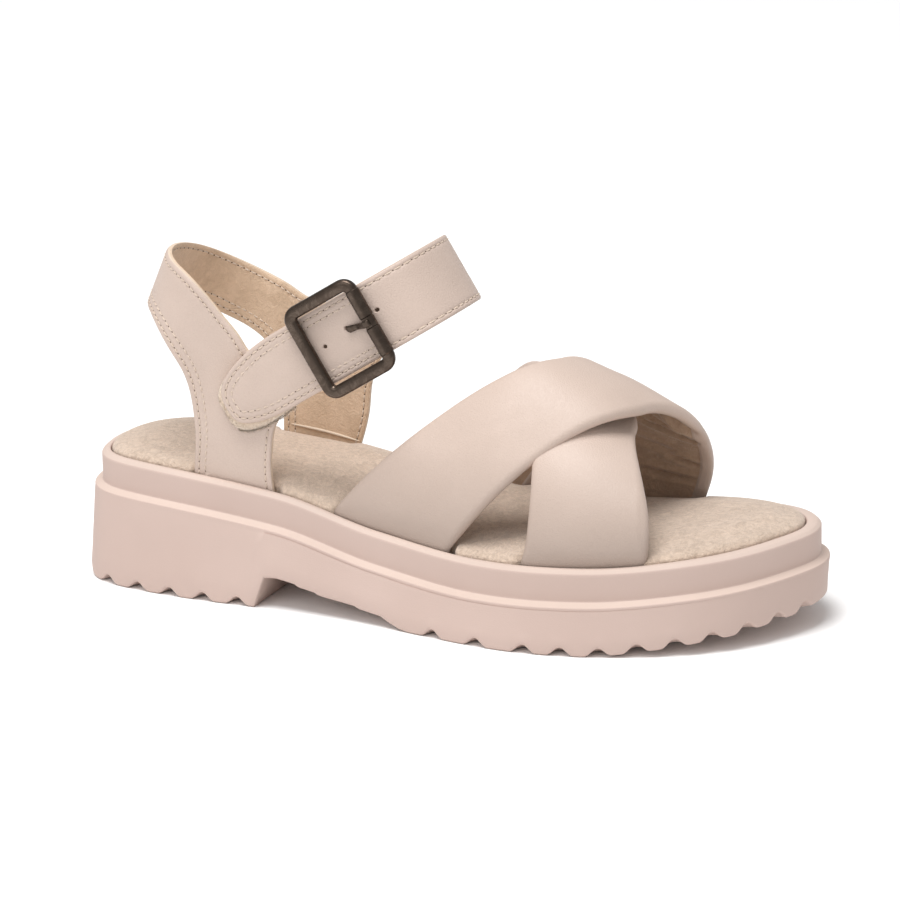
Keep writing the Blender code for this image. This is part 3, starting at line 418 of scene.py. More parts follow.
OUTLINE = (
    # along, lateral, medial, the width they are shares of
    (0.030, 0.364, 0.299, HEEL_WIDTH),
    (0.100, 0.463, 0.465, HEEL_WIDTH),
    (0.200, 0.504, 0.497, HEEL_WIDTH),
    (0.320, 0.516, 0.502, HEEL_WIDTH),
    (0.440, 0.411, 0.372, BALL_WIDTH),
    (0.560, 0.479, 0.400, BALL_WIDTH),
    (0.660, 0.519, 0.433, BALL_WIDTH),
    (0.760, 0.492, 0.478, BALL_WIDTH),
    (0.860, 0.395, 0.471, BALL_WIDTH),
    (0.940, 0.240, 0.382, BALL_WIDTH),
    (0.985, 0.059, 0.249, BALL_WIDTH),
)
TOE_TIP = 0.047
RIM = (
    # along, share of the heel's rise, share of the toe's lift
    (0.00, 1.000, 0.000),
    (0.15, 0.900, 0.000),
    (0.30, 0.669, 0.000),
    (0.45, 0.183, 0.000),
    (0.60, 0.000, 0.000),
    (0.75, 0.000, 0.113),
    (0.88, 0.000, 0.493),
    (1.00, 0.000, 1.000),
)
UNDERSIDE = (
    # along, share of the arch height, share of the toe spring
    (0.000, 0.00, 0.00), (0.277, 0.00, 0.00), (0.293, 0.98, 0.00), (0.311, 1.00, 0.00), (0.338, 0.89, 0.00),
    (0.342, 0.82, 0.00), (0.368, 0.71, 0.00), (0.372, 0.64, 0.00), (0.428, 0.50, 0.00), (0.432, 0.44, 0.00),
    (0.468, 0.33, 0.00), (0.474, 0.24, 0.00), (0.495, 0.05, 0.00), (0.510, 0.00, 0.00), (0.770, 0.00, 0.00),
    (0.804, 0.00, 0.12), (0.848, 0.00, 0.27), (0.885, 0.00, 0.41), (0.924, 0.00, 0.55), (0.949, 0.00, 0.69),
    (0.977, 0.00, 0.80), (1.000, 0.00, 1.00),
)
FLARE = ((0.00, 0.75), (0.30, 1.00), (0.60, 1.00), (0.85, 0.55), (1.00, -0.30))


def smooth_table(rows, column):
    """A smooth curve through a table's column that doesn't overshoot its rows."""
    x = np.array([row[0] for row in rows], float)
    y = np.array([row[column] for row in rows], float)
    step = np.diff(x)
    slope = np.diff(y) / step
    tangent = np.zeros(len(x))
    for i in range(1, len(x) - 1):
        if slope[i - 1] * slope[i] > 0:
            tangent[i] = 2 * slope[i - 1] * slope[i] / (slope[i - 1] + slope[i])
    tangent[0], tangent[-1] = slope[0], slope[-1]

    def value(at):
        at = np.clip(np.asarray(at, float), x[0], x[-1])
        i = np.clip(np.searchsorted(x, at) - 1, 0, len(step) - 1)
        t = (at - x[i]) / step[i]
        rise = (3 - 2 * t) * t * t
        return (y[i] * (1 - rise) + y[i + 1] * rise
                + step[i] * (tangent[i] * t * (1 - t) ** 2 - tangent[i + 1] * t * t * (1 - t)))

    return value


def spline(points, closed, count):
    """Evenly spaced points on a smooth curve through the given points, and its length."""
    points = np.array(points, float)
    if closed:
        points = np.vstack([points, points[:1]])
    n = len(points)
    t = np.concatenate([[0], np.cumsum(np.linalg.norm(np.diff(points, axis=0), axis=1))])
    h = np.diff(t)
    system = np.zeros((n, n))
    right = np.zeros((n, points.shape[1]))
    for i in range(1, n - 1):
        system[i, i - 1:i + 2] = h[i - 1], 2 * (h[i - 1] + h[i]), h[i]
        right[i] = 6 * ((points[i + 1] - points[i]) / h[i] - (points[i] - points[i - 1]) / h[i - 1])
    if closed:
        system[0, 0], system[0, -1] = 1, -1
        system[-1, 0], system[-1, 1] = 2 * h[0], h[0]
        system[-1, -2], system[-1, -1] = h[-1], 2 * h[-1]
        right[-1] = 6 * ((points[1] - points[0]) / h[0] - (points[-1] - points[-2]) / h[-1])
    else:
        system[0, 0] = system[-1, -1] = 1
    bend = np.linalg.solve(system, right)
    fine = np.linspace(0, t[-1], 40 * n)
    i = np.clip(np.searchsorted(t, fine) - 1, 0, n - 2)
    a = ((t[i + 1] - fine) / h[i])[:, None]
    b = 1 - a
    curve = (a * points[i] + b * points[i + 1]
             + ((a ** 3 - a) * bend[i] + (b ** 3 - b) * bend[i + 1]) * (h[i] ** 2)[:, None] / 6)
    run = np.concatenate([[0], np.cumsum(np.linalg.norm(np.diff(curve, axis=0), axis=1))])
    even = np.linspace(0, run[-1], count, endpoint=not closed)
    return np.stack([np.interp(even, run, curve[:, k]) for k in range(curve.shape[1])], 1), run[-1]


def soft_step(share):
    share = np.clip(share, 0, 1)
    return share * share * (3 - 2 * share)


rim_heel, rim_toe = smooth_table(RIM, 1), smooth_table(RIM, 2)
flare_share = smooth_table(FLARE, 1)


def rim_height(x):
    along = np.asarray(x) / SOLE_LENGTH
    return FOREFOOT_HEIGHT + rim_heel(along) * (HEEL_HEIGHT - FOREFOOT_HEIGHT) + rim_toe(along) * TOE_LIFT


def underside_height(x):
    places, arch, toe = zip(*UNDERSIDE)
    along = np.asarray(x) / SOLE_LENGTH
    return np.interp(along, places, arch) * ARCH_HEIGHT + np.interp(along, places, toe) * TOE_SPRING


lateral_points = [(row[0] * SOLE_LENGTH, -row[1] * row[3]) for row in OUTLINE]
medial_points = [(row[0] * SOLE_LENGTH, row[2] * row[3]) for row in reversed(OUTLINE)]
RING, GIRTH = spline([(0, 0)] + lateral_points + [(SOLE_LENGTH, TOE_TIP * BALL_WIDTH)] + medial_points, True, 1600)
RING_RUN = np.linspace(0, GIRTH, len(RING), endpoint=False)
ahead = np.roll(RING, -1, axis=0) - np.roll(RING, 1, axis=0)
RING_OUT = np.stack([ahead[:, 1], -ahead[:, 0]], 1) / np.linalg.norm(ahead, axis=1)[:, None]
TOE_RUN = RING_RUN[np.argmax(RING[:, 0])]


def on_ring(run, offset):
    """Plan points at a distance along the outline, moved out by an offset."""
    run = np.mod(run, GIRTH)
    closed_run = np.append(RING_RUN, GIRTH)
    place = [np.interp(run, closed_run, np.append(RING[:, k], RING[0, k])) for k in (0, 1)]
    out = [np.interp(run, closed_run, np.append(RING_OUT[:, k], RING_OUT[0, k])) for k in (0, 1)]
    return np.stack([place[k] + offset * out[k] for k in (0, 1)], -1)


def side_half(side):
    return RING_RUN <= TOE_RUN if side == "lateral" else RING_RUN >= TOE_RUN


def look_up(x, places, values):
    """The values at x, from places in any order."""
    order = np.argsort(places)
    return np.interp(x, places[order], values[order])


def run_at(along, side):
    """Distance round the outline of the point at a share of the length on one side."""
    half = side_half(side)
    return float(look_up(along * SOLE_LENGTH, RING[half, 0], RING_RUN[half]))


print("outline:", round(GIRTH / MM), "mm round")

# %% [markdown]
# ## Mesh helpers
#
# Most pieces here are lofts: rows of points joined by quads. A few helpers make the faces of a loft and close its
# ends, and one turns points and faces into a named piece that rides with the shoe and stands for its plain solid.

# %% Helpers for meshes


def loft_faces(rows, columns, first=0, wrapped=False):
    """Quads between closed rows of points; wrapped joins the last row to the first one too."""
    faces = []
    for i in range(rows if wrapped else rows - 1):
        low, high = first + i * columns, first + (i + 1) % rows * columns
        faces += [(low + j, low + (j + 1) % columns, high + (j + 1) % columns, high + j) for j in range(columns)]
    return faces


def cap_faces(rows, columns, first=0):
    """The two end faces of a loft."""
    last = first + (rows - 1) * columns
    return [tuple(range(first, first + columns)), tuple(range(last, last + columns))]


def turns_round(sides):
    return np.linspace(0, 2 * math.pi, sides, endpoint=False)


def squared_off(value, power):
    """A sine or cosine pushed out, which makes a round section fuller in its corners."""
    return math.copysign(abs(value) ** power, value)


def across_faces(ring, first):
    """Strips that close a ring, from its lateral to its medial side, for points first to first + len(ring)."""
    n = len(ring)
    low, high = int(np.argmin(ring[:, 0])), int(np.argmax(ring[:, 0]))
    one = [(low + k) % n for k in range((high - low) % n + 1)]
    two = [(low - k) % n for k in range((low - high) % n + 1)]
    faces = []
    i = j = 0
    while i < len(one) - 1 or j < len(two) - 1:
        step_one = j == len(two) - 1 or (i < len(one) - 1 and ring[one[i + 1], 0] <= ring[two[j + 1], 0])
        corners = (one[i], one[i + 1], two[j]) if step_one else (one[i], two[j + 1], two[j])
        if len(set(corners)) == 3:
            faces.append(tuple(first + k for k in corners))
        i, j = (i + 1, j) if step_one else (i, j + 1)
    return faces


def ring_solid(rings):
    """Points and faces of a closed stack of rings."""
    count = len(rings[0])
    faces = loft_faces(len(rings), count) + across_faces(rings[0], 0)
    return np.vstack(rings), faces + across_faces(rings[-1], count * (len(rings) - 1))


def make_piece(name, slot, points, faces, finishes, chosen=None, replaces=(), sharp=None):
    """A smooth piece that rides with the shoe; chosen gives each face its finish."""
    mesh = bpy.data.meshes.new(name)
    mesh.from_pydata((np.asarray(points, float) + SHIFT).tolist(), [], faces)
    for finish in finishes:
        mesh.materials.append(finish)
    if chosen is not None:
        mesh.polygons.foreach_set("material_index", np.asarray(chosen, dtype=np.int32))
    bm = bmesh.new()
    bm.from_mesh(mesh)
    bmesh.ops.recalc_face_normals(bm, faces=bm.faces)
    bm.to_mesh(mesh)
    bm.free()
    mesh.shade_smooth()
    if sharp:
        mesh.set_sharp_from_angle(angle=math.radians(sharp))
    item = bpy.data.objects.new(name, mesh)
    bpy.context.scene.collection.objects.link(item)
    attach(item, "root")
    for node in replaces:
        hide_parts(node)
    mesh.calc_loop_triangles()
    print(name, len(mesh.loop_triangles), "triangles")
    return item


# %% [markdown]
# ## Sole
#
# The whole sole is one moulding of light foam: a heel block and a forefoot with scalloped lugs round the edge, an
# arch between them cut in small steps, a sloping ledge, and above it a band whose rim holds the footbed. A
# moulding like this is a loft of rings, each one the outline moved in or out and set at its height. The lower
# edge is round. The ledge and the rim have a crisp slope instead that catches the light; its faces are painted in
# a paler copy of the foam, a painted highlight.

# %% Sole
BAND_HEIGHT = 10.7 * MM
LEDGE_DEPTH = 2.8 * MM
LEDGE_DROP = 1.5 * MM
RIM_WIDTH = 3.2 * MM
RECESS_DEPTH = 5.0 * MM
TOE_RIM_EXTRA = 1.9 * MM
TOE_RIM_START = 0.80
TOE_RIM_BLEND = 0.17
BASE_FLARE = 3.2 * MM
EDGE_ROUND = 1.2 * MM
NOTCH_HEIGHT = 2.9 * MM
NOTCH_WIDTH = 10.0 * MM
NOTCH_SOFTNESS = 2.5
NOTCH_REACH = 7.0 * MM
NOTCH_POINTS = 11
NOTCH_ROOF = ((0.72, 0.30), (0.45, 0.72), (0.28, 0.93))  # share of the reach inward, share of the notch's rise
ROUND_TURNS = np.linspace(0, math.pi / 2, 5)
WALL_SHARES = (0.22, 0.40, 0.58, 0.76, 0.92)
BAND_SHARES = (0.35, 0.6)
HEEL_LUG_PITCH = 13.0 * MM
BALL_LUG_PITCH = 17.2 * MM
TOE_LUG_PITCH = 12.6 * MM
BALL_LUGS = 2
BALL_LUG_START = 0.548
SOLE_STEP = 1.7 * MM
LEDGE_SHAPE = (
    # mm in from the wall, mm over the ledge's outer corner: a wall, a crisp corner, a slope and a hollow
    (0.00, -1.20), (0.00, -0.40), (0.05, -0.18), (0.22, -0.02), (0.50, 0.10), (1.50, 0.62), (2.45, 1.14),
    (2.68, 1.30), (2.80, 1.55), (2.80, 2.00),
)
RIM_SHAPE = (
    # mm in from the band, mm under the rim's top: a bevel that catches the light, then the flat rim
    (0.00, 2.60), (0.00, 1.75), (0.06, 1.55), (0.25, 1.30), (1.15, 0.42), (1.45, 0.18), (1.90, 0.03),
    (2.80, 0.00), (3.10, 0.12), (3.20, 0.45),
)
SLOPE_ROWS = range(3, 7)
SOLE_CREASE = 55


def notch_runs():
    """Middle of each notch between two edge lugs, as a distance round the outline."""
    breast = UNDERSIDE[1][0]
    start, end = run_at(breast, "medial") - GIRTH, run_at(breast, "lateral")
    gaps = round((end - start) / HEEL_LUG_PITCH)
    runs = [start + (k + 0.5) * (end - start) / gaps for k in range(gaps)]
    for side, turn in (("lateral", 1), ("medial", -1)):
        at = run_at(BALL_LUG_START, side)
        gone, count = 0.0, 0
        while gone < abs(TOE_RUN - at) - TOE_LUG_PITCH / 2:
            runs.append(at + turn * gone)
            gone += BALL_LUG_PITCH if count < BALL_LUGS else TOE_LUG_PITCH
            count += 1
    return sorted(run % GIRTH for run in runs)


def nearest_run(runs, keys):
    """Distance round the outline from each run to the nearest key."""
    return np.abs((runs[:, None] - np.array(keys)[None, :] + GIRTH / 2) % GIRTH - GIRTH / 2).min(1)


def sole_runs(notches):
    """Places round the outline: even ones, and closer ones where a notch or a step of the arch needs them."""
    keys = [middle + share * NOTCH_WIDTH for middle in notches for share in np.linspace(-0.5, 0.5, NOTCH_POINTS)]
    keys += [run_at(row[0], side) for row in UNDERSIDE[1:-1] for side in ("lateral", "medial")]
    keys = np.unique(np.round(np.mod(keys, GIRTH), 5))
    keys = keys[np.diff(np.append(keys, keys[0] + GIRTH)) > GAP]
    even = np.arange(0, GIRTH, SOLE_STEP)
    return np.sort(np.concatenate([keys, even[nearest_run(even, keys) > SOLE_STEP / 2]]))


def toe_extra(runs):
    """How much wider the rim is round the toe."""
    along = on_ring(runs, 0)[:, 0] / SOLE_LENGTH
    return TOE_RIM_EXTRA * soft_step((along - TOE_RIM_START) / TOE_RIM_BLEND)


def sole_rings():
    notches = notch_runs()
    runs = sole_runs(notches)
    off = np.clip(nearest_run(runs, notches) / (NOTCH_WIDTH / 2), 0, 1)
    lift = NOTCH_HEIGHT * np.cos(off * math.pi / 2) ** NOTCH_SOFTNESS
    flare = BASE_FLARE * flare_share(on_ring(runs, 0)[:, 0] / SOLE_LENGTH)
    extra = toe_extra(runs)
    rings = []

    def ring(offset, height):
        plan = on_ring(runs, offset)
        rings.append(np.column_stack([plan, height(plan[:, 0])]))

    def ledge(x):
        return rim_height(x) - BAND_HEIGHT - LEDGE_DROP

    ring(-NOTCH_REACH, underside_height)
    for inward, share in NOTCH_ROOF:
        ring(flare - NOTCH_REACH * inward, lambda x, s=share: underside_height(x) + lift * s)
    for turn in ROUND_TURNS:
        ring(flare - EDGE_ROUND * (1 - math.sin(turn)),
             lambda x, t=turn: underside_height(x) + lift + EDGE_ROUND * (1 - math.cos(t)))
    for share in WALL_SHARES:
        ring(flare * (1 - share), lambda x, s=share: (underside_height(x) + NOTCH_HEIGHT) * (1 - s) + ledge(x) * s)
    for inward, rise in LEDGE_SHAPE:
        ring(-inward * MM, lambda x, r=rise: ledge(x) + r * MM)
    for share in BAND_SHARES:
        ring(-LEDGE_DEPTH, lambda x, s=share: rim_height(x) - BAND_HEIGHT * (1 - s))
    for inward, drop in RIM_SHAPE:
        wider = extra if inward * MM > RIM_WIDTH / 2 else 0
        ring(-LEDGE_DEPTH - inward * MM - wider, lambda x, d=drop: rim_height(x) - d * MM)
    ring(-LEDGE_DEPTH - RIM_WIDTH - extra, lambda x: rim_height(x) - RECESS_DEPTH)
    return rings


rings = sole_rings()
sole_points, faces = ring_solid(rings)
node_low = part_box("sole_unit")[0]
SHIFT = np.array([node_low[0] - sole_points[:, 0].min(), node_low[1] - sole_points[:, 1].min(), 0.0])
rim_start = len(rings) - 1 - len(RIM_SHAPE)
ledge_start = rim_start - len(BAND_SHARES) - len(LEDGE_SHAPE)
# faces of the slopes take the paler foam, a painted highlight
slopes = {start + k for start in (rim_start, ledge_start) for k in SLOPE_ROWS}
chosen = [int(k // len(rings[0]) in slopes) for k in range(len(faces))]
make_piece("sole", "sole_unit", sole_points, faces, [FOAM, FOAM_HIGHLIGHT], chosen, replaces=["sole_unit"],
           sharp=SOLE_CREASE)

# %% [markdown]
# ## Footbed
#
# A foam pad covered in beige suede lies in the rim. It is crowned, dished under the heel, raised under the arch,
# and its soft edge stands a few millimetres over the rim. Where a strap goes down beside it, its edge is drawn in.
# It could be an inflated sheet. Rings of falling inset give the same soft edge with full control of the dish.

# %% Footbed
FOOTBED_RISE = 4.0 * MM
FOOTBED_ROUND = 4.5 * MM
FOOTBED_CROWN = 1.0 * MM
CROWN_START = 0.7
FOOTBED_STEPS = 420
HEEL_CUP, HEEL_CUP_PLACE, HEEL_CUP_SPREAD = 1.6 * MM, 0.14, 0.11
ARCH_PAD, ARCH_PAD_PLACE, ARCH_PAD_SPREAD = 6.2 * MM, 0.46, 0.14
SEAT_GAP = 0.4 * MM
SEAT_INSET = LEDGE_DEPTH + RIM_WIDTH + SEAT_GAP
STRAP_FOOT = 2.4 * MM
SLOT_DEPTH = STRAP_FOOT + SEAT_GAP + 0.4 * MM
SLOT_BEHIND = 1.4 * MM
SLOT_AHEAD = 1.6 * MM
SLOT_RAMP = 1.6 * MM
DEEPEST_RING = 7.0 * MM
MIDDLE_PULL = 0.85
FOOTBED_EDGE = (
    # inset as a share of the rounding, height as a share of the rise
    (0.00, 0.070), (0.06, 0.200), (0.22, 0.385), (0.40, 0.500), (0.60, 0.595), (0.90, 0.665), (1.30, 0.725),
    (1.80, 0.790), (2.40, 0.870), (3.00, 0.945), (3.40, 0.980), (4.00, 1.000), (4.60, 1.000),
)
OVER_EDGES = {"rear": (0.382, 0.624, 0.033), "front": (0.554, 0.791, 0.011)}
UNDER_EDGES = {"rear": (0.664, 0.446, -0.046), "front": (0.821, 0.552, -0.003)}
LEG_ENDS = {"lateral": (0.178, 0.296), "medial": (0.209, 0.312)}


def footbed_rings():
    feet = list(LEG_ENDS.items())
    for edges in (OVER_EDGES, UNDER_EDGES):
        for column, side in enumerate(("lateral", "medial")):
            feet.append((side, sorted(edges[name][column] for name in ("rear", "front"))))
    runs = np.linspace(0, GIRTH, FOOTBED_STEPS, endpoint=False)
    depth = np.zeros(len(runs))
    for side, (rear, front) in feet:
        ends = (rear - SLOT_BEHIND / SOLE_LENGTH, front + SLOT_AHEAD / SOLE_LENGTH)
        low, high = sorted(run_at(end, side) for end in ends)
        inside = np.minimum(runs - low, high - runs)
        depth = np.maximum(depth, SLOT_DEPTH * soft_step(inside / SLOT_RAMP + 0.5))
    depth = depth + toe_extra(runs)

    def drawn_in(plan, more):
        """A ring moved toward the sole's middle line, which can't fold over itself as a deep inset would."""
        x = plan[:, 0]
        sides = [np.interp(x, *np.array(sorted(side)).T) for side in (lateral_points, medial_points)]
        middle = np.column_stack([SOLE_LENGTH / 2 + (x - SOLE_LENGTH / 2) * MIDDLE_PULL, sum(sides) / 2])
        return plan + (middle - plan) * more / (HEEL_WIDTH / 2 - SEAT_INSET)

    def top(plan, share):
        along = plan[:, 0] / SOLE_LENGTH
        cup = np.exp(-((along - HEEL_CUP_PLACE) / HEEL_CUP_SPREAD) ** 2)
        pad = np.exp(-((along - ARCH_PAD_PLACE) / ARCH_PAD_SPREAD) ** 2)
        pad = pad * np.clip(plan[:, 1] / (HEEL_WIDTH / 2), 0, 1)
        middle = np.clip((share - CROWN_START) / (1 - CROWN_START), 0, 1)
        return (rim_height(plan[:, 0]) + FOOTBED_RISE * share + FOOTBED_CROWN * middle
                + ARCH_PAD * pad * share - HEEL_CUP * cup * middle)

    plan = on_ring(runs, -(SEAT_INSET + depth))
    rings = [np.column_stack([plan, rim_height(plan[:, 0]) - RECESS_DEPTH + SEAT_GAP])]
    for inset, share in FOOTBED_EDGE:
        settle = depth * (1 - inset / FOOTBED_EDGE[-1][0])
        deep = min(inset * FOOTBED_ROUND, DEEPEST_RING)
        plan = drawn_in(on_ring(runs, -(SEAT_INSET + settle + deep)), inset * FOOTBED_ROUND - deep)
        rings.append(np.column_stack([plan, top(plan, share)]))
    return rings


footbed = make_piece("suede_footbed", "footbed", *ring_solid(footbed_rings()), [FOOTBED_SUEDE],
                     replaces=["footbed"])

# %% [markdown]
# ## Cross straps
#
# Two padded straps cross over the forefoot. Each one is nude leather over a thin pad, with its edges turned in and
# glued, so no stitch shows, and a suede lining inside, painted a darker brown than the tan lining as painted shade.
# Both lie on the arch of a foot. That arch is one formula: a place along the sole and a turn from the lateral to the
# medial side give a point. A strap is then a run of sections on it. A simulation would need a foot to lie on, and
# the formula already is that foot.

# %% The arch of the foot
INSTEP_HEIGHT = 57.0 * MM
CROSS_LIFT = 4.0 * MM
UNDER_LIFT = -4.2 * MM
ARCH_LEAN = 0.53
ARCH_SKEW = 3.9 * MM
ARCH_BULGE = 1.2 * MM
BULGE_POWER = 0.8
ARCH_SQUARENESS = 2.59
SEAT_STEPS = 400
FOOT_ARCH = ((0.363, 1.000), (0.496, 1.000), (0.611, 0.858), (0.725, 0.651), (0.840, 0.486))
arch_share = smooth_table(FOOT_ARCH, 1)


def wall_side(x, side, inset):
    """Sideways place of the outline, moved in by an inset, at x."""
    moved = on_ring(RING_RUN, -inset)[side_half(side)]
    return look_up(x, moved[:, 0], moved[:, 1])


SEAT_X = np.linspace(0, SOLE_LENGTH, SEAT_STEPS)
SEAT_WALL = {side: wall_side(SEAT_X, side, SEAT_INSET) for side in ("lateral", "medial")}


def seat_side(x, side):
    return np.interp(x, SEAT_X, SEAT_WALL[side])


def foot_arch(s, theta, lift):
    """Outer face of the cross straps: s is the place along the sole, theta 0 lateral to pi medial."""
    low, high = seat_side(s, "lateral"), seat_side(s, "medial")
    height = INSTEP_HEIGHT * arch_share(s / SOLE_LENGTH) + lift * np.sin(theta) ** 2
    cosine, sine = np.cos(theta), np.sin(theta)
    aside = -np.sign(cosine) * np.abs(cosine) ** (2 / ARCH_SQUARENESS)
    up = np.clip(np.abs(sine), 0, 1) ** (2 / ARCH_SQUARENESS)
    bulge = ARCH_BULGE * np.sin(math.pi * up ** BULGE_POWER) * np.abs(cosine)
    y = (low + high) / 2 + ((high - low) / 2 + bulge) * aside + ARCH_SKEW * up
    return np.stack([s + ARCH_LEAN * height * up, y, rim_height(s) + height * up], -1)


print("arch over the ball:", (foot_arch(0.6 * SOLE_LENGTH, math.pi / 2, 0.0) / MM).round(1))

# %% [markdown]
# The section of a strap is flat and a little crowned outside, round at both edges and lined inside. Leather that
# is bent over a padded arch wrinkles where it is squeezed: small folds that start at an edge and run out. The
# lining is squeezed more, so it stands up in a thick roll with sharp folds under it. All of them are listed
# here as soft troughs and ridges, each one a short line with its width and depth.

# %% Padded straps
STRAP_PADDING = 4.5 * MM
STRAP_PUFF = 1.2 * MM
PADDING_START = 9.0 * MM
STRAP_SPAN = 45.0 * MM
ARCH_ROWS = 170
FACE_COLUMNS = 56
EDGE_COLUMNS = 9
EDGE_SHARE = 0.055
OVERHANG = 0.012
TURN_IN = 0.10
LINING_STEP = 0.12
INSIDE_DEPTH = 0.6
EDGE_SWING = 0.35
CROWN_POWER = 0.8
NEAR_ZERO = 0.002
TURN_STEP = 0.02
ARCH_MM_PER_DEGREE = 0.95
FOLD_FADE = 0.12
SHOULDER, SHOULDER_PLACE = 0.45, 2.1

CREASES = {
    # each row: degrees and share across where it starts, where it ends, half width and depth in mm
    "over_strap": ((148, 0.03, 166, 0.07, 1.2, 0.22), (130, 0.96, 148, 0.93, 1.3, 0.25),
                   (34, 0.42, 52, 0.60, 2.6, 0.08)),
    "under_strap": ((12, 0.955, 40, 0.965, 0.9, 0.22), (150, 0.06, 166, 0.12, 1.4, 0.25)),
}
LINING_FOLDS = {
    # the same on the lining, where a depth below nothing is a ridge: first the roll, then the fold under it
    "over_strap": ((104, 0.64, 124, 0.74, 2.0, -2.0), (122, 0.60, 136, 0.86, 2.8, -3.4),
                   (126, 0.48, 134, 0.70, 2.4, -2.4), (138.5, 0.34, 142, 0.90, 1.0, 2.6),
                   (158, 0.62, 161, 0.88, 1.2, 1.7), (168, 0.42, 171, 0.86, 1.2, 1.7),
                   (152, 0.30, 155, 0.62, 1.5, 1.0)),
    "under_strap": ((140, 0.30, 152, 0.45, 1.2, 0.5),),
}


def crease_depth(rows, theta, across):
    """How deep the skin sinks at each point, over all the listed lines. Each has a low shoulder beside it."""
    scale = np.array([ARCH_MM_PER_DEGREE, STRAP_SPAN / MM])
    run, side = np.degrees(theta) * scale[0], across * scale[1]
    sink = np.zeros(np.broadcast(run, side).shape)
    for start, start_side, end, end_side, half, depth in rows:
        a = np.array([start, start_side]) * scale
        way = np.array([end, end_side]) * scale - a
        share = np.clip(((run - a[0]) * way[0] + (side - a[1]) * way[1]) / (way @ way), 0, 1)
        off = np.hypot(run - a[0] - share * way[0], side - a[1] - share * way[1])
        fade = np.sin(math.pi * (FOLD_FADE + (1 - 2 * FOLD_FADE) * share))
        trough = np.exp(-(off / half) ** 2) - SHOULDER * np.exp(-((off - SHOULDER_PLACE * half) / half) ** 2)
        sink += depth * fade * trough
    return sink * MM


def strap_section():
    """Places across a padded strap and their depth as a share of the wall, once round."""
    reach = EDGE_SHARE + OVERHANG
    turns = np.linspace(0, math.pi, EDGE_COLUMNS + 2)[1:-1]
    face = np.linspace(EDGE_SHARE, 1 - EDGE_SHARE, FACE_COLUMNS)
    inner = [(u, 1.0 - LINING_STEP * (TURN_IN < u < 1 - TURN_IN)) for u in face[::-1]]
    front = [(1 - EDGE_SHARE + reach * math.sin(t), (1 - math.cos(t)) / 2) for t in turns]
    rear = [(EDGE_SHARE - reach * math.sin(t), (1 + math.cos(t)) / 2) for t in turns]
    return np.array([(u, 0.0) for u in face] + front + inner + rear)


def make_padded_strap(name, edges, lift):
    """A strap from its edges: where each starts, where it ends and how far it bows, as shares of the length."""
    section = strap_section()
    across, depth = section[:, 0], section[:, 1]
    theta = np.linspace(NEAR_ZERO, math.pi - NEAR_ZERO, ARCH_ROWS)
    theta = np.concatenate([theta[:1], theta, theta[-1:]])
    drop = np.zeros(len(theta))
    drop[[0, -1]] = RECESS_DEPTH - SEAT_GAP
    mix = EDGE_SWING * (1 - np.cos(theta)) / 2 + (1 - EDGE_SWING) * theta / math.pi
    rear, front = (SOLE_LENGTH * (a + (b - a) * mix + bow * np.sin(theta))
                   for a, b, bow in (edges["rear"], edges["front"]))
    foot = SOLE_LENGTH * edges["rear"][0]
    share = soft_step((foot_arch(foot, theta, lift)[:, 2] - rim_height(foot)) / PADDING_START)
    share[[0, 1, -2, -1]] = 0
    wall = STRAP_FOOT + (STRAP_PADDING - STRAP_FOOT) * share
    s = rear[:, None] + (front - rear)[:, None] * across
    turn = np.broadcast_to(theta[:, None], s.shape)
    here = foot_arch(s, turn, lift)
    ahead = foot_arch(s, np.minimum(turn + TURN_STEP, math.pi - NEAR_ZERO), lift)
    behind = foot_arch(s, np.maximum(turn - TURN_STEP, NEAR_ZERO), lift)
    normal = np.cross(foot_arch(s + 0.1 * MM, turn, lift) - here, ahead - behind)
    normal /= np.linalg.norm(normal, axis=2)[..., None]
    inside_face = depth > INSIDE_DEPTH
    crown = STRAP_PUFF * share[:, None] * np.sin(math.pi * np.clip(across, 0.0, 1.0)) ** CROWN_POWER
    crown = crown - crease_depth(CREASES[name], turn, across) * ~inside_face * share[:, None]
    crown = crown + crease_depth(LINING_FOLDS[name], turn, across) * inside_face * share[:, None]
    points = here + normal * (crown - wall[:, None] * depth)[..., None]
    points[..., 2] -= drop[:, None]
    rows, columns = s.shape
    lining = (across > TURN_IN) & (across < 1 - TURN_IN) & inside_face
    lining &= np.roll(lining, -1)
    chosen = list(np.tile(lining.astype(int), rows - 1)) + [0, 0]
    faces = loft_faces(rows, columns) + cap_faces(rows, columns)
    # the lining faces get the darker strap lining, a painted shade
    strap = make_piece(name, "cross_straps", points.reshape(-1, 3), faces, [STRAP_LEATHER, SHADED_STRAP_LINING], chosen,
                       replaces=["cross_straps"])


make_padded_strap("over_strap", OVER_EDGES, CROSS_LIFT)
make_padded_strap("under_strap", UNDER_EDGES, UNDER_LIFT)

# %% [markdown]
# ## Leather cut flat
#
# The heel piece and the instep strap are cut flat from leather, lined with suede and stitched near their edges.
# They are modelled in the same order: a flat outline, filled with triangles that are small near the edge, then
# bent into place. The distance to the edge says where the face rounds off and where a stitch row pulls it in.

# %% Flat patterns
CUT_STEP = 1.3 * MM
FILL_STEP = 3.0 * MM
CUT_RINGS = (0.30, 0.75, 1.2, 1.5, 1.8, 2.1, 2.5, 3.1, 3.7, 4.1, 4.5, 5.2)
FIRST_ROW = 1.8 * MM
SECOND_ROW = 4.1 * MM
GROOVE_DEPTH = 0.30 * MM
GROOVE_HALF = 0.40 * MM
EDGE_SINK = 0.50 * MM
EDGE_SOFT = 0.9 * MM
WALL_SPLIT = 0.45
PUNCH_DEPTH = 0.9 * MM
PUNCH_RINGS = (0.5, 0.8, 1.0, 1.3, 1.9)
PUNCH_SIDES = 12
DARK_PIT = 0.85
LINING_SINK = 0.6
CUT_CREASE = 50


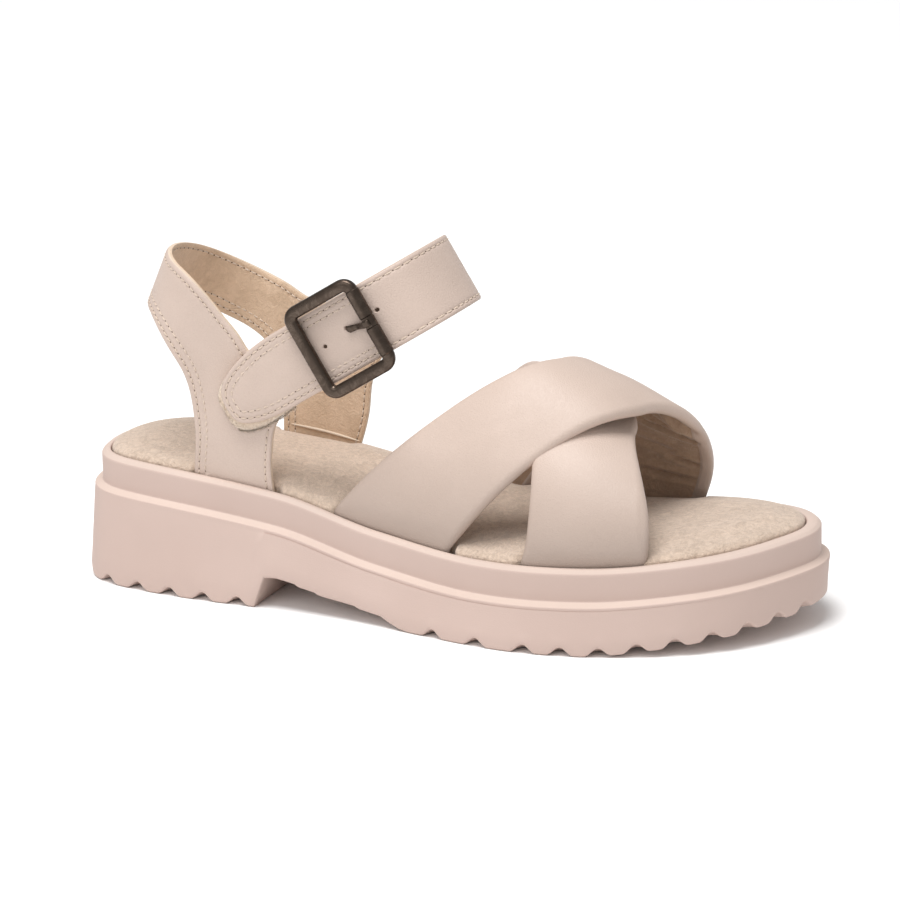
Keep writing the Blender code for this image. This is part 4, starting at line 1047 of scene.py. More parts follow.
def edge_reach(outline, points):
    """Distance from flat points to a closed outline, and the nearest piece of it."""
    a, b = outline, np.roll(outline, -1, axis=0)
    way = b - a
    near, which = np.full(len(points), 1.0), np.zeros(len(points), int)
    for k in range(len(a)):
        share = np.clip(((points - a[k]) @ way[k]) / (way[k] @ way[k]), 0, 1)
        off = np.linalg.norm(points - a[k] - share[:, None] * way[k], axis=1)
        closer = off < near
        near[closer], which[closer] = off[closer], k
    return near, which


def inside(outline, points):
    """Which flat points lie inside a closed outline."""
    a, b = outline, np.roll(outline, -1, axis=0)
    crossings = np.zeros(len(points), int)
    for (ax, ay), (bx, by) in zip(a, b):
        if ay != by:
            crosses = (ay > points[:, 1]) != (by > points[:, 1])
            crossings += crosses & (points[:, 0] < ax + (points[:, 1] - ay) * (bx - ax) / (by - ay))
    return crossings % 2 == 1


def inward(curve, outline):
    """Unit vectors at the points of a curve that point into the outline it is part of."""
    way = np.gradient(curve, axis=0)
    way /= np.linalg.norm(way, axis=1)[:, None]
    side = np.stack([-way[:, 1], way[:, 0]], 1)
    middle = len(curve) // 2
    probe = curve[middle:middle + 1] + side[middle:middle + 1] * 0.5 * MM
    return side if inside(outline, probe)[0] else -side


def fill_pattern(outline, punched):
    """Triangles inside a flat outline, finer near its edge; also the order of the points round the rim."""
    closed = np.vstack([outline[-1:], outline, outline[:1]])
    side = inward(closed, outline)[1:-1]
    extra = []
    for k, inset in enumerate(CUT_RINGS):
        step = 1 if inset < 3 else 2
        ring = (outline + side * inset * MM)[(k % 2)::step]
        extra.append(ring[edge_reach(outline, ring)[0] > inset * MM * 0.975])
    low, high = outline.min(0), outline.max(0)
    rows = np.arange(low[1], high[1], FILL_STEP * 0.866)
    grid = np.array([(u + (k % 2) * FILL_STEP / 2, v) for k, v in enumerate(rows)
                     for u in np.arange(low[0], high[0], FILL_STEP)])
    extra.append(grid[edge_reach(outline, grid)[0] > CUT_RINGS[-1] * MM + FILL_STEP * 0.45])
    extra = np.vstack(extra)
    extra = extra[inside(outline, extra)]
    turns = turns_round(PUNCH_SIDES)
    circle = np.stack([np.cos(turns), np.sin(turns)], 1)
    for u, v, radius in punched:
        clear = np.hypot(extra[:, 0] - u, extra[:, 1] - v) > radius * (PUNCH_RINGS[-1] + 0.5)
        rings = [np.array([[u, v]])] + [np.array([u, v]) + radius * size * circle for size in PUNCH_RINGS]
        extra = np.vstack([extra[clear]] + rings)
    points = np.vstack([outline, extra]) / MM
    filled = geometry.delaunay_2d_cdt([tuple(p) for p in points], [], [list(range(len(outline)))], 1, 1e-6)
    flat = np.array([tuple(p) for p in filled[0]]) * MM
    rim = [i for i in range(len(flat)) if filled[3][i] and filled[3][i][0] < len(outline)]
    rim.sort(key=lambda i: filled[3][i][0])
    return flat, [tuple(face) for face in filled[2]], rim


def face_sink(reach, double):
    """How far a face sinks at a distance from the edge; double says where a second stitch row runs."""
    sink = EDGE_SINK * np.clip(1 - reach / EDGE_SOFT, 0, 1) ** 2
    sink += GROOVE_DEPTH * np.exp(-((reach - FIRST_ROW) / GROOVE_HALF) ** 2)
    return sink + double * GROOVE_DEPTH * np.exp(-((reach - SECOND_ROW) / GROOVE_HALF) ** 2)


def make_cut_leather(name, slot, outline, double_edges, place, wall, punched=()):
    """A leather piece from its outline, which place bends: u, v and a depth out from the lining give a point."""
    flat, triangles, rim = fill_pattern(outline, punched)
    reach, which = edge_reach(outline, flat)
    sink = face_sink(reach, double_edges[which])
    middles = np.array([flat[list(face)].mean(0) for face in triangles])
    # faces on each punched pit's floor get the dark finish, a painted shade
    pits = np.zeros(len(triangles), int)
    for u, v, radius in punched:
        sink += PUNCH_DEPTH * soft_step(2.4 - 2 * np.hypot(flat[:, 0] - u, flat[:, 1] - v) / radius)
        pits[np.hypot(middles[:, 0] - u, middles[:, 1] - v) < radius * DARK_PIT] = 3
    outer = [place(u, v, wall - d) for (u, v), d in zip(flat, sink)]
    inner = [place(u, v, d * LINING_SINK) for (u, v), d in zip(flat, sink)]
    seam = [place(*flat[i], wall * WALL_SPLIT) for i in rim]
    n, m = len(flat), len(rim)
    turned = [tuple(n + i for i in reversed(face)) for face in triangles]
    round_rim = [(k, (k + 1) % m) for k in range(m)]
    upper = [(rim[j], rim[i], 2 * n + i, 2 * n + j) for i, j in round_rim]
    lower = [(2 * n + j, 2 * n + i, n + rim[i], n + rim[j]) for i, j in round_rim]
    chosen = list(pits) + [1] * len(turned) + [2] * m + [1] * m
    return make_piece(name, slot, outer + inner + seam, triangles + turned + upper + lower,
                      [LEATHER, LINING, CUT_EDGE, HOLE_SHADE], chosen, replaces=[slot], sharp=CUT_CREASE)


# %% [markdown]
# ## Stitches
#
# A stitch row is a row of small threads lying in a groove, each with both ends pulled down into a needle hole. On
# this shoe the thread is nearly the colour of the leather, so the dark holes are what one sees first. Each thread
# is a short bowed tube, and each hole is a tiny cap that just shows above the groove; its dark colour is painted
# shade. A bump texture could draw them, but modelled threads keep their shape from every side.

# %% Stitches
STITCH_PITCH = 2.8 * MM
STITCH_LENGTH = 2.25 * MM
THREAD_RADIUS = 0.29 * MM
HOLE_RADIUS = 0.40 * MM
THREAD_SIDES = 6
THREAD_SHARES = (-0.5, -0.36, 0.0, 0.36, 0.5)
THREAD_BOW = (0.75, 5.2)
HOLE_SIDES = 8
HOLE_CAP = ((0.7, 0.06 * MM), (1.0, -0.06 * MM))
HOLE_TOP = 0.10 * MM


def row_path(curve, outline, inset):
    """A stitch row at a distance inside one side of an outline."""
    path = curve + inward(curve, outline) * inset
    kept = (edge_reach(outline, path)[0] > inset * 0.985) & inside(outline, path)
    return path[kept]


def stitch_points(place, path, level, way_out):
    """Threads and holes along one row on one face, as points and faces of each."""
    run = np.concatenate([[0], np.cumsum(np.linalg.norm(np.diff(path, axis=0), axis=1))])
    middles = np.arange(STITCH_PITCH * 0.6, run[-1] - STITCH_PITCH * 0.5, STITCH_PITCH)
    threads, holes = [], []

    def at(distance, depth):
        u, v = (np.interp(distance, run, path[:, k]) for k in (0, 1))
        return np.array(place(u, v, depth))

    for middle in middles:
        spine = [at(middle + share * STITCH_LENGTH, level) for share in THREAD_SHARES]
        out = at(middle, level + 1.0 * MM) - at(middle, level)
        out *= way_out / np.linalg.norm(out)
        way = spine[-1] - spine[0]
        way /= np.linalg.norm(way)
        side = np.cross(out, way)
        rings = []
        for share, point in zip(THREAD_SHARES, spine):
            bow = THREAD_RADIUS * (THREAD_BOW[0] - THREAD_BOW[1] * share ** 2)
            radius = THREAD_RADIUS * (1.0 - 0.5 * abs(share))
            rings.append([point + out * (bow + radius * math.sin(t)) + side * radius * math.cos(t)
                          for t in turns_round(THREAD_SIDES)])
        threads.append(np.array(rings).reshape(-1, 3))
        # each needle hole is a small cap in the dark finish, a painted shade
        end = at(middle + STITCH_PITCH / 2, level)
        cap = [end + out * HOLE_TOP]
        for radius, height in HOLE_CAP:
            cap += [end + out * height + HOLE_RADIUS * radius * (side * math.cos(t) + way * math.sin(t))
                    for t in turns_round(HOLE_SIDES)]
        holes.append(np.array(cap))
    return threads, holes


def make_stitches(name, slot, place, rows, wall):
    """All the threads and needle holes of one leather piece, on its outside and on its lining."""
    threads, holes = [], []
    for path in rows:
        if len(path) > 3:
            for level, way_out in ((wall - GROOVE_DEPTH, 1), (GROOVE_DEPTH * LINING_SINK, -1)):
                new_threads, new_holes = stitch_points(place, path, level, way_out)
                threads += new_threads
                holes += new_holes
    faces, chosen = [], []
    count = 0
    for finish, group in enumerate((threads, holes)):
        for block in group:
            if finish == 0:
                rows = len(THREAD_SHARES)
                new = loft_faces(rows, THREAD_SIDES, count) + cap_faces(rows, THREAD_SIDES, count)
            else:
                first = count + 1
                new = [(count, first + k, first + (k + 1) % HOLE_SIDES) for k in range(HOLE_SIDES)]
                new += loft_faces(2, HOLE_SIDES, first) + cap_faces(2, HOLE_SIDES, first)[1:]
            faces += new
            chosen += [finish] * len(new)
            count += len(block)
    print(len(threads), "stitches")
    make_piece(name, slot, np.vstack(threads + holes), faces, [THREAD, HOLE_SHADE], chosen)


# %% [markdown]
# ## Heel quarter
#
# One piece of leather goes round the back of the heel. It has a sling that holds the heel, two legs a side that go
# down beside the footbed, and arms forward along the instep strap. Its pattern is drawn flat, around from the back
# seam and up, and bends round the heel first and then along the strap's loop.

# %% Curves of the quarter
QUARTER_WALL = 2.2 * MM
QUARTER_REACH = 100.0 * MM
SLING_RISE = 75.0 * MM
HEEL_RADIUS = HEEL_WIDTH / 2 - 7.75 * MM
HEEL_BACK = 21.0 * MM
HEEL_BACK_LEVEL = 53.0 * MM
HEEL_LEAN = 0.43
LEG_SPREAD = 18.0 * MM
LEG_MIDDLE = 0.419
LOOP_AROUND = 0.987
LOOP_REACH = 28.5 * MM
LOOP_TILT = math.radians(31.5)
LOOP_LEVEL = 55.5 * MM
ARM_WIDTH = 25.2 * MM
SETTLE_ROUNDS = 6
FINE_STEP = 0.4 * MM
LEG_FEET = {"lateral": (0.654, 0.978), "medial": (0.739, 1.023)}
SLING_TOP = {
    "lateral": ((0.685, 0.615), (0.62, 0.670), (0.54, 0.754), (0.43, 0.866), (0.33, 0.944), (0.21, 0.985),
                (0.10, 1.000)),
    "medial": ((0.05, 0.978), (0.12, 0.951), (0.26, 0.872), (0.42, 0.779), (0.52, 0.728), (0.60, 0.680)),
}
SLING_FOOT = {
    "lateral": ((0.00, 0.725), (0.11, 0.738), (0.21, 0.724), (0.29, 0.675), (0.37, 0.598), (0.48, 0.456),
                (0.55, 0.308)),
    "medial": ((0.11, 0.690), (0.22, 0.637), (0.32, 0.574), (0.42, 0.517), (0.53, 0.432), (0.62, 0.270)),
}
LEG_REAR = {"lateral": ((0.595, 0.178), (0.628, 0.040)), "medial": ((0.675, 0.140), (0.708, 0.040))}
LEG_FRONT = {
    "lateral": ((0.918, 0.052), (0.882, 0.180), (0.867, 0.310)),
    "medial": ((0.992, 0.170), (0.963, 0.300)),
}
LATERAL_ARM = (
    ((-1.60, -1.000), (-0.70, -1.000), (0.50, -1.000)),
    ((0.50, -1.000), (0.81, -0.800), (0.87, 0.000), (0.81, 0.720), (0.50, 0.905)),
    ((0.50, 0.905), (-1.00, 0.905), (-2.42, 0.905)),
)
MEDIAL_ARM = (
    ((-2.42, 0.905), (-1.80, 0.905), (-0.95, 0.905)),
    ((-0.95, 0.905), (-0.95, -1.000)),
    ((-0.95, -1.000), (-1.50, -1.000)),
)
LOOP = (
    (-2.40, -1.000), (-1.75, -1.000), (-1.20, -0.996), (-0.56, -0.955), (0.00, -0.885), (0.54, -0.815),
    (0.86, -0.600), (0.98, -0.290), (1.00, 0.000), (0.94, 0.255), (0.74, 0.527), (0.35, 0.756), (-0.21, 0.938),
    (-0.84, 0.996), (-1.75, 1.000), (-2.40, 1.000),
)
LEG_LEVEL = float(rim_height(HEEL_BACK + LEG_MIDDLE * QUARTER_REACH))
LOOP_Z = LEG_LEVEL + LOOP_LEVEL
LOOP_COS, LOOP_SIN = math.cos(LOOP_TILT), math.sin(LOOP_TILT)
HEEL_ARC = HEEL_RADIUS * math.pi / 2
LOOP_CURVE, LOOP_RUN = spline([(row[0] * LOOP_REACH, row[1] * HEEL_RADIUS) for row in LOOP], False, 500)
NOSE = int(np.argmax(LOOP_CURVE[:, 0]))
LOOP_SIDES = {"lateral": LOOP_CURVE[:NOSE + 1], "medial": LOOP_CURVE[NOSE:][::-1]}


def heel_centre(z):
    """Middle of the round back of the heel at a height."""
    return HEEL_BACK + HEEL_RADIUS + HEEL_LEAN * (z - LEG_LEVEL - HEEL_BACK_LEVEL)


LOOP_X = heel_centre(LOOP_Z) - HEEL_ARC + LOOP_AROUND * QUARTER_REACH
print("loop round the ankle:", round(LOOP_RUN / MM), "mm long")

# %% [markdown]
# The pattern is flat, and these functions bend it. Near the back seam a point goes round the heel's arc. Further on
# it follows the loop of the instep strap, and toward its foot it settles against the wall of the recess.

# %% Bend the quarter


def tilted(along, across):
    """x and z of a point given along and across the instep strap."""
    return LOOP_X + along * LOOP_COS - across * LOOP_SIN, LOOP_Z + along * LOOP_SIN + across * LOOP_COS


def quarter_point(around, z, depth):
    """A point of the quarter: around from the back seam, lateral negative, and depth out from the lining."""
    sign = -1 if around < 0 else 1
    reach, centre = abs(around), heel_centre(z)
    if reach < HEEL_ARC:
        turn = reach / HEEL_RADIUS
        return (centre - (HEEL_RADIUS + depth) * math.cos(turn), sign * (HEEL_RADIUS + depth) * math.sin(turn), z)
    x = centre + reach - HEEL_ARC
    along = (x - LOOP_X) * LOOP_COS + (z - LOOP_Z) * LOOP_SIN
    side = "lateral" if sign < 0 else "medial"
    curve = LOOP_SIDES[side]
    inner, next_inner = (float(np.interp(at, curve[:, 0], curve[:, 1])) for at in (along, along + MM))
    y = inner + sign * depth * math.hypot(1, (next_inner - inner) / MM)
    foot = float(seat_side(x, side)) - sign * (QUARTER_WALL - depth)
    return x, foot + (y - foot) * soft_step((z - float(rim_height(x))) / LEG_SPREAD), z


def on_arm(along, across):
    """Pattern place of a point given along and across the instep strap."""
    x, z = tilted(along, across)
    return HEEL_ARC + x - heel_centre(z), z


def on_pattern(rows, sign):
    return [(sign * around * QUARTER_REACH, LEG_LEVEL + up * SLING_RISE) for around, up in rows]


def leg_foot(share, sign):
    """Pattern place of a foot corner of a leg, on the floor of the recess; a few rounds settle its height."""
    around, z = share * QUARTER_REACH, LEG_LEVEL
    for _ in range(SETTLE_ROUNDS):
        z = float(rim_height(heel_centre(z) + around - HEEL_ARC)) - RECESS_DEPTH + SEAT_GAP
    return sign * around, z


def quarter_runs():
    """The sides of the pattern in order, each a list of corners for a smooth curve."""
    half = ARM_WIDTH / 2
    arms = []
    for sign, table in ((-1, LATERAL_ARM), (1, MEDIAL_ARM)):
        for places in table:
            placed = [on_arm(along * half, across * half) for along, across in places]
            arms.append([(sign * around, z) for around, z in placed])
    lateral_lower, lateral_end, lateral_upper, medial_upper, medial_end, medial_lower = arms
    feet = {side: [leg_foot(share, sign) for share in (LEG_FEET[side][0], sum(LEG_FEET[side]) / 2, LEG_FEET[side][1])]
            for side, sign in (("lateral", -1), ("medial", 1))}
    top = on_pattern(SLING_TOP["lateral"], -1) + on_pattern(SLING_TOP["medial"], 1)
    bottom = (on_pattern(reversed(LEG_REAR["medial"]), 1) + on_pattern(reversed(SLING_FOOT["medial"]), 1)
              + on_pattern(SLING_FOOT["lateral"], -1) + on_pattern(LEG_REAR["lateral"], -1))
    return [
        feet["lateral"][2:] + on_pattern(LEG_FRONT["lateral"], -1) + lateral_lower,
        lateral_end,
        lateral_upper,
        [lateral_upper[-1]] + top + [medial_upper[0]],
        medial_upper,
        medial_end,
        medial_lower + on_pattern(reversed(LEG_FRONT["medial"]), 1) + feet["medial"][2:],
        feet["medial"][::-1],
        feet["medial"][:1] + bottom + feet["lateral"][:1],
        feet["lateral"],
    ]


def outline_of(runs, double):
    """One closed outline from its sides, marked where a second stitch row runs, and the fine sides."""
    outline, marks, sides = [], [], []
    for k, corners in enumerate(runs):
        reach = spline(corners, False, 200)[1]
        sides.append(spline(corners, False, max(2, round(reach / FINE_STEP)))[0])
        outline.append(spline(corners, False, max(2, round(reach / CUT_STEP) + 1))[0][:-1])
        marks += [k in double] * len(outline[-1])
    return np.vstack(outline), np.array(marks, float), sides


# the sides of quarter_runs with one stitch row and with two
SINGLE_ROW_SIDES = (0, 3, 6)
DOUBLE_ROW_SIDES = (8,)
outline, marks, sides = outline_of(quarter_runs(), DOUBLE_ROW_SIDES)
make_cut_leather("quarter_leather", "heel_quarter", outline, marks, quarter_point, QUARTER_WALL)
rows = [row_path(sides[k], outline, FIRST_ROW) for k in SINGLE_ROW_SIDES + DOUBLE_ROW_SIDES]
rows += [row_path(sides[k], outline, SECOND_ROW) for k in DOUBLE_ROW_SIDES]
make_stitches("quarter_stitches", "heel_quarter", quarter_point, rows, QUARTER_WALL)

# %% [markdown]
# Inside the medial side the suede lining ends just over the footbed, and its pale edge lies there in a thin fold.
# It is a small bead that tapers at both ends.

# %% Edge of the lining
FOLD_PLACES = ((73.0, 46.0), (86.5, 44.5), (101.0, 42.0))  # mm round from the back seam, mm up
FOLD_RADIUS = 0.45 * MM
FOLD_TIP = 0.15
FOLD_ROWS, FOLD_SIDES = 40, 8


def make_lining_fold():
    path, _ = spline([(around * MM, z * MM) for around, z in FOLD_PLACES], False, FOLD_ROWS)
    points = []
    for k, (around, z) in enumerate(path):
        radius = FOLD_RADIUS * (FOLD_TIP + math.sin(math.pi * k / (FOLD_ROWS - 1)) ** 0.5)
        points += [quarter_point(around, z + radius * math.cos(t), radius * math.sin(t))
                   for t in turns_round(FOLD_SIDES)]
    faces = loft_faces(FOLD_ROWS, FOLD_SIDES) + cap_faces(FOLD_ROWS, FOLD_SIDES)
    make_piece("lining_fold", "heel_quarter", points, faces, [CUT_EDGE])


make_lining_fold()

# %% [markdown]
# ## Instep strap
#
# The fastening strap starts on the medial arm, loops over the instep, passes through the buckle and ends in a
# round tab that lies on the lateral arm. It has one stitch row along each edge, and two behind the buckle. Its
# punched holes are small pits whose floor is painted dark, a painted shade.

# %% Instep strap
STRAP_WALL = 2.4 * MM
STRAP_WIDTH = 25.0 * MM
TAB_END = 51.5 * MM
STRAP_START = 36.0 * MM
PATCH_WALL = 0.8 * MM
PATCH_DEPTH = QUARTER_WALL + GAP
STRAP_DEPTH = PATCH_DEPTH + PATCH_WALL + GAP
TAB = (
    # from the end as a share of the width, lower and upper edge as shares of the half width
    (0.00, -0.40, 0.08), (0.03, -0.58, 0.26), (0.12, -0.74, 0.47), (0.28, -0.87, 0.66), (0.50, -0.96, 0.81),
    (0.80, -1.00, 0.94), (1.15, -1.00, 1.00),
)
LOOP_AT = np.linspace(0, LOOP_RUN, len(LOOP_CURVE))
tab_lower, tab_upper = smooth_table(TAB, 1), smooth_table(TAB, 2)


def loop_frame(run):
    """Place, direction and outward normal of the loop at a distance along it."""
    near = LOOP_RUN / 400
    here, ahead, behind = (np.array([np.interp(at, LOOP_AT, LOOP_CURVE[:, k]) for k in (0, 1)])
                           for at in (run, run + near, run - near))
    way = (ahead - behind) / np.linalg.norm(ahead - behind)
    return here, way, np.array([way[1], -way[0]])


def loop_run(along, side):
    """Distance along the loop of the point at a place along the strap, on one side."""
    half = slice(0, NOSE + 1) if side == "lateral" else slice(NOSE, None)
    return float(look_up(along, LOOP_CURVE[half, 0], LOOP_AT[half]))


def loop_point(run, across, depth):
    """A point by its distance along the loop, its height across it and its depth out from the lining."""
    here, _, out = loop_frame(run)
    along, aside = here + out * depth
    x, z = tilted(along, across)
    return x, aside, z


STRAP_FIRST, STRAP_LAST = loop_run(-TAB_END, "lateral"), loop_run(-STRAP_START, "medial")
BUCKLE_RUN = loop_run(-0.7 * MM, "lateral")
SPLIT_RUN = BUCKLE_RUN + 10.0 * MM
SETTLE_SPEED = 1.6
PUNCHED = ((14.6, 1.9, 0.72), (-7.7, -0.2, 0.72), (2.9, 1.6, 0.80))  # mm along, across and in radius
NOSE_RUN = LOOP_RUN * NOSE / len(LOOP_CURVE)


def strap_point(run, across, depth):
    """A point of the strap; it settles onto the quarter's arm on the medial side."""
    settle = soft_step((run - NOSE_RUN) / (STRAP_LAST - NOSE_RUN) * SETTLE_SPEED)
    return loop_point(run, across, STRAP_DEPTH + (PATCH_DEPTH - STRAP_DEPTH) * settle + depth)


def strap_runs():
    half, tip = STRAP_WIDTH / 2, TAB[-1][0] * STRAP_WIDTH
    nose = [(STRAP_FIRST + row[0] * STRAP_WIDTH, half * row[2]) for row in reversed(TAB)]
    nose += [(STRAP_FIRST + row[0] * STRAP_WIDTH, half * row[1]) for row in TAB]
    start = STRAP_FIRST + tip
    return [
        [(SPLIT_RUN, half), (start, half)],
        nose,
        [(start, -half), (SPLIT_RUN, -half)],
        [(SPLIT_RUN, -half), (STRAP_LAST, -half)],
        [(STRAP_LAST, -half), (STRAP_LAST, half)],
        [(STRAP_LAST, half), (SPLIT_RUN, half)],
    ]


outline, marks, sides = outline_of(strap_runs(), (0, 1, 2))
punched = [(BUCKLE_RUN + along * MM, across * MM, radius * MM) for along, across, radius in PUNCHED]
make_cut_leather("instep_leather", "instep_strap", outline, marks, strap_point, STRAP_WALL, punched)
tab_side = np.vstack([sides[0][:-1], sides[1][:-1], sides[2]])
rows = [row_path(side, outline, FIRST_ROW) for side in (tab_side, sides[3], sides[5])]
rows.append(row_path(tab_side, outline, SECOND_ROW))
make_stitches("instep_stitches", "instep_strap", strap_point, rows, STRAP_WALL)

# %% [markdown]
# ## Fastening patch
#
# Under the round tab lies a patch of brushed loops, the soft half of a hook and loop fastener. A thin curved sheet
# carries hundreds of small looped fibres along its edge, because that fuzzy edge is all that shows.

# %% Fastening patch
PATCH_SHOW = 2.9 * MM
PATCH_LENGTH = 28.0 * MM
PATCH_ROWS, PATCH_COLUMNS = 40, 24
PATCH_TOP = 0.9
FIBRES = 900
FIBRE_RADIUS = 0.07 * MM
FIBRE_STEPS, FIBRE_SIDES = 4, 3
EDGE_FIBRES = 0.75
SEED = 7


def patch_edges(share):
    """Lower and upper edge of the patch: its lower edge shows below the tab, its upper edge is hidden."""
    at = share * PATCH_LENGTH / STRAP_WIDTH
    half = STRAP_WIDTH / 2
    return (half + PATCH_SHOW * (1 - share)) * float(tab_lower(at)), half * float(tab_upper(at)) * PATCH_TOP


PATCH_START = loop_run(-TAB_END - PATCH_SHOW, "lateral")


def make_patch():
    points = []
    for share in np.linspace(0, 1, PATCH_ROWS) ** 1.4:
        lower, upper = patch_edges(share)
        across = np.linspace(lower, upper, PATCH_COLUMNS // 2)
        run = PATCH_START + share * PATCH_LENGTH
        points += [loop_point(run, v, PATCH_DEPTH + PATCH_WALL) for v in across]
        points += [loop_point(run, v, PATCH_DEPTH) for v in across[::-1]]
    faces = loft_faces(PATCH_ROWS, PATCH_COLUMNS) + cap_faces(PATCH_ROWS, PATCH_COLUMNS)
    return make_piece("loop_patch", "fastening_patch", points, faces, [LOOP_FABRIC], replaces=["fastening_patch"])


def make_fibres():
    """Small bent fibres at random places, most of them along the edge that shows."""
    points, faces = [], []
    rng = np.random.default_rng(SEED)
    for _ in range(FIBRES):
        share = rng.random() ** 1.3 * 0.9
        lower, upper = patch_edges(share)
        run = PATCH_START + share * PATCH_LENGTH
        on_edge = rng.random() < EDGE_FIBRES and share > 0.05
        v = lower + rng.normal(0, 0.25 * MM) if on_edge else rng.uniform(lower, upper)
        base = len(points)
        reach = rng.uniform(0.3, 0.9) * MM
        turn = rng.uniform(-1.2, 1.2)
        for step in range(FIBRE_STEPS):
            bend = step / (FIBRE_STEPS - 1)
            out = PATCH_DEPTH + PATCH_WALL * rng.uniform(0.3, 1.0) + reach * 0.4 * math.sin(bend * math.pi)
            u = run - reach * bend * (0.5 + math.sin(turn)) * 0.6
            w = v - reach * bend * math.cos(turn)
            for spin in turns_round(FIBRE_SIDES):
                points.append(loop_point(u + FIBRE_RADIUS * math.cos(spin), w + FIBRE_RADIUS * math.sin(spin),
                                         out + FIBRE_RADIUS * math.sin(spin * 2)))
        faces += loft_faces(FIBRE_STEPS, FIBRE_SIDES, base)
    return make_piece("loop_fibres", "fastening_patch", points, faces, [LOOP_FABRIC])


patch, fibres = make_patch(), make_fibres()
shares = np.linspace(0, 1, 60)
widths = [np.diff(patch_edges(share))[0] for share in shares]

# %% [markdown]
# ## Buckle
#
# The buckle is a cast frame of dark bronze, a rolled sleeve on its front bar, and a prong that hooks round that
# bar and rests in a hole of the strap. All three lie in one plane on the strap. Casting leaves a soft, oval
# section, so the frame is a loft of ovals round a path with round corners.

# %% Buckle
BUCKLE_ALONG = 28.6 * MM
BUCKLE_ACROSS = 34.0 * MM
BUCKLE_WIRE = 3.6 * MM
BUCKLE_WIDE = 4.4 * MM
BUCKLE_CORNER = 3.0 * MM
BUCKLE_ASIDE = -0.3 * MM
ROLLER_DIAMETER = 5.0 * MM
ROLLER_LENGTH = 24.5 * MM
PRONG_WIDTH = 2.4 * MM
PRONG_LENGTH = 12.0 * MM
PRONG_SKEW = 1.5 * MM
FRAME_SIDES, ROLLER_SIDES, PRONG_SIDES = 20, 36, 14
FRAME_FULLNESS, PRONG_FULLNESS = 0.75, 0.7
CORNER_STEPS = 10
BAR_STEP = 2.0 * MM
ROLLER_ROUND = 0.35 * MM
BRIDGE_SINK = 0.05 * MM
BRIDGE_TURNS = np.linspace(-1.15, 1.15, 15)
BUCKLE_LIFT = STRAP_DEPTH + STRAP_WALL + GAP + ROLLER_DIAMETER / 2
BAR_ALONG = (BUCKLE_ALONG - BUCKLE_WIRE) / 2
BAR_ACROSS = (BUCKLE_ACROSS - BUCKLE_WIRE) / 2


def buckle_point(along, across, lift):
    """A point in the buckle's own plane, which lies flat on the strap."""
    here, way, out = loop_frame(BUCKLE_RUN)
    flat = here + way * along + out * (BUCKLE_LIFT + lift)
    x, z = tilted(flat[0], across + BUCKLE_ASIDE)
    return x, flat[1], z


def bar_ring(radius, across, turns):
    """Points round the front bar at a radius."""
    return [buckle_point(BAR_ALONG + radius * math.cos(turn), across, radius * math.sin(turn)) for turn in turns]


def frame_path():
    """Points and turn angles round the frame's middle line: four corners and four straight bars."""
    path = []
    for quarter, (sx, sy) in enumerate(((1, 1), (-1, 1), (-1, -1), (1, -1))):
        corner = [(quarter + k / CORNER_STEPS) * math.pi / 2 for k in range(CORNER_STEPS + 1)]
        path += [(sx * (BAR_ALONG - BUCKLE_CORNER) + BUCKLE_CORNER * math.cos(t),
                  sy * (BAR_ACROSS - BUCKLE_CORNER) + BUCKLE_CORNER * math.sin(t), t) for t in corner]
    filled = []
    for here, ahead in zip(path, path[1:] + path[:1]):
        along, across = ahead[0] - here[0], ahead[1] - here[1]
        steps = max(1, round(math.hypot(along, across) / BAR_STEP))
        filled += [(here[0] + along * k / steps, here[1] + across * k / steps, here[2]) for k in range(steps)]
    return filled


def make_frame():
    points = []
    path = frame_path()
    for along, across, turn in path:
        for spin in turns_round(FRAME_SIDES):
            wide = BUCKLE_WIDE / 2 * squared_off(math.cos(spin), FRAME_FULLNESS)
            thick = BUCKLE_WIRE / 2 * squared_off(math.sin(spin), FRAME_FULLNESS)
            points.append(buckle_point(along + wide * math.cos(turn), across + wide * math.sin(turn), thick))
    faces = loft_faces(len(path), FRAME_SIDES, wrapped=True)
    make_piece("cast_frame", "buckle_frame", points, faces, [BRONZE], replaces=["buckle_frame"])


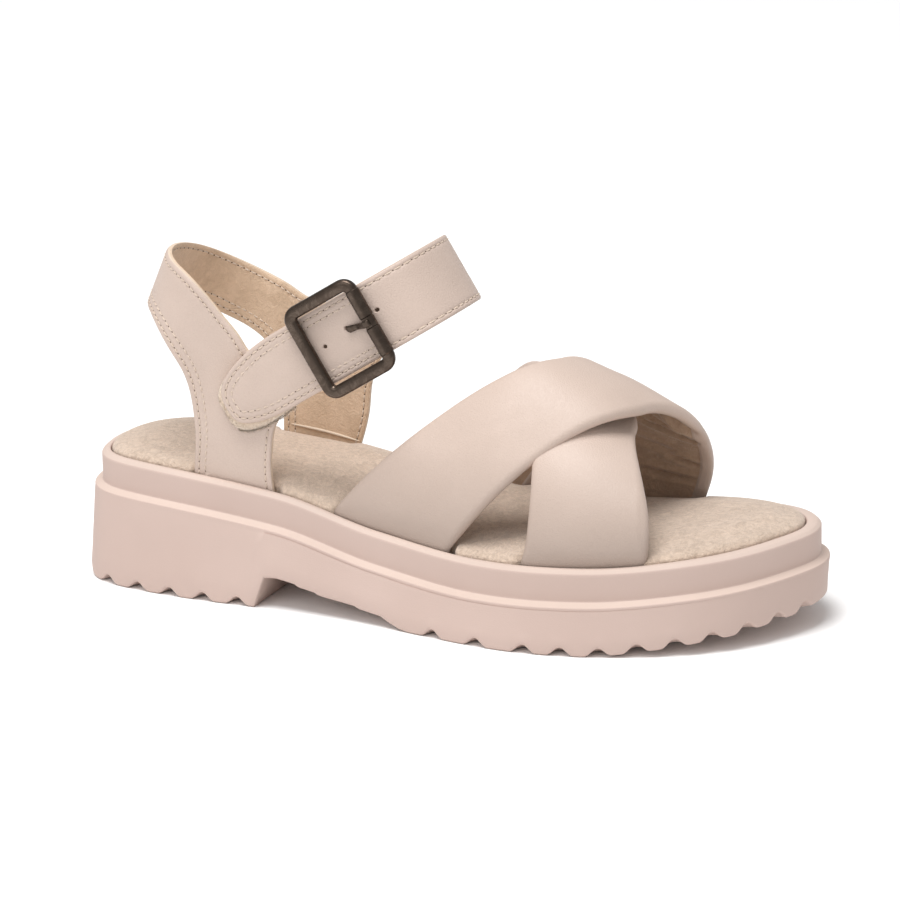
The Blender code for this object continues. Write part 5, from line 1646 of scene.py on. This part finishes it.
def make_roller():
    """A sleeve bent from sheet round the front bar: two halves, and a bridge in front of the prong."""
    outer, bore = ROLLER_DIAMETER / 2, BUCKLE_WIRE / 2 + GAP
    half, slot = ROLLER_LENGTH / 2, PRONG_WIDTH / 2 + 2 * GAP
    shoulder = outer - ROLLER_ROUND
    profile = ((-half, bore), (-half, shoulder), (-half + ROLLER_ROUND, outer), (-slot - ROLLER_ROUND, outer),
               (-slot, shoulder), (-slot, bore))
    points, faces = [], []
    for way in (1, -1):
        faces += loft_faces(len(profile), ROLLER_SIDES, len(points), wrapped=True)
        for across, radius in profile:
            points += bar_ring(radius, way * across, turns_round(ROLLER_SIDES))
    base, n = len(points), len(BRIDGE_TURNS)
    for radius in (bore, outer - BRIDGE_SINK):
        for across in (-slot, slot):
            points += bar_ring(radius, across, BRIDGE_TURNS)
    for a, b in ((0, 1), (2, 3), (0, 2), (1, 3)):
        faces += [(base + a * n + k, base + a * n + k + 1, base + b * n + k + 1, base + b * n + k)
                  for k in range(n - 1)]
    make_piece("rolled_sleeve", "buckle_roller", points, faces, [BRONZE], replaces=["buckle_roller"], sharp=40)


PRONG = (
    # turn round the bar in degrees, share of the length beyond the last turn, width and thickness shares
    (70, 0.00, 0.95, 0.80), (86, 0.00, 1.00, 1.00), (97, 0.00, 1.00, 1.00), (108, 0.00, 1.00, 1.00),
    (120, 0.00, 1.00, 1.00), (134, 0.00, 1.00, 1.00), (134, 0.12, 1.00, 0.95), (134, 0.30, 0.95, 0.85),
    (134, 0.50, 0.86, 0.80), (134, 0.68, 1.00, 0.80), (134, 0.80, 1.05, 0.75), (134, 0.88, 0.60, 0.50),
)


def make_prong():
    thick = ROLLER_DIAMETER / 2 - BUCKLE_WIRE / 2 + GAP
    reach = BUCKLE_WIRE / 2 + GAP + thick / 2
    floor = -ROLLER_DIAMETER / 2 + thick * 0.35
    points = []
    for degrees, beyond, wide, tall in PRONG:
        turn = math.radians(degrees)
        out = (math.cos(turn), math.sin(turn))
        along = reach * out[0] - out[1] * PRONG_LENGTH * beyond
        lift = reach * out[1] + out[0] * PRONG_LENGTH * beyond
        for spin in turns_round(PRONG_SIDES):
            beside = squared_off(math.cos(spin), PRONG_FULLNESS) * wide * PRONG_WIDTH / 2
            depth = squared_off(math.sin(spin), PRONG_FULLNESS) * thick * tall / 2
            high = max(lift + out[1] * depth, floor + depth + thick * tall / 2)
            points.append(buckle_point(BAR_ALONG + along + out[0] * depth, beside + PRONG_SKEW * beyond, high))
    faces = loft_faces(len(PRONG), PRONG_SIDES) + cap_faces(len(PRONG), PRONG_SIDES)
    make_piece("bent_prong", "buckle_prong", points, faces, [BRONZE], replaces=["buckle_prong"])


make_frame()
make_roller()
make_prong()
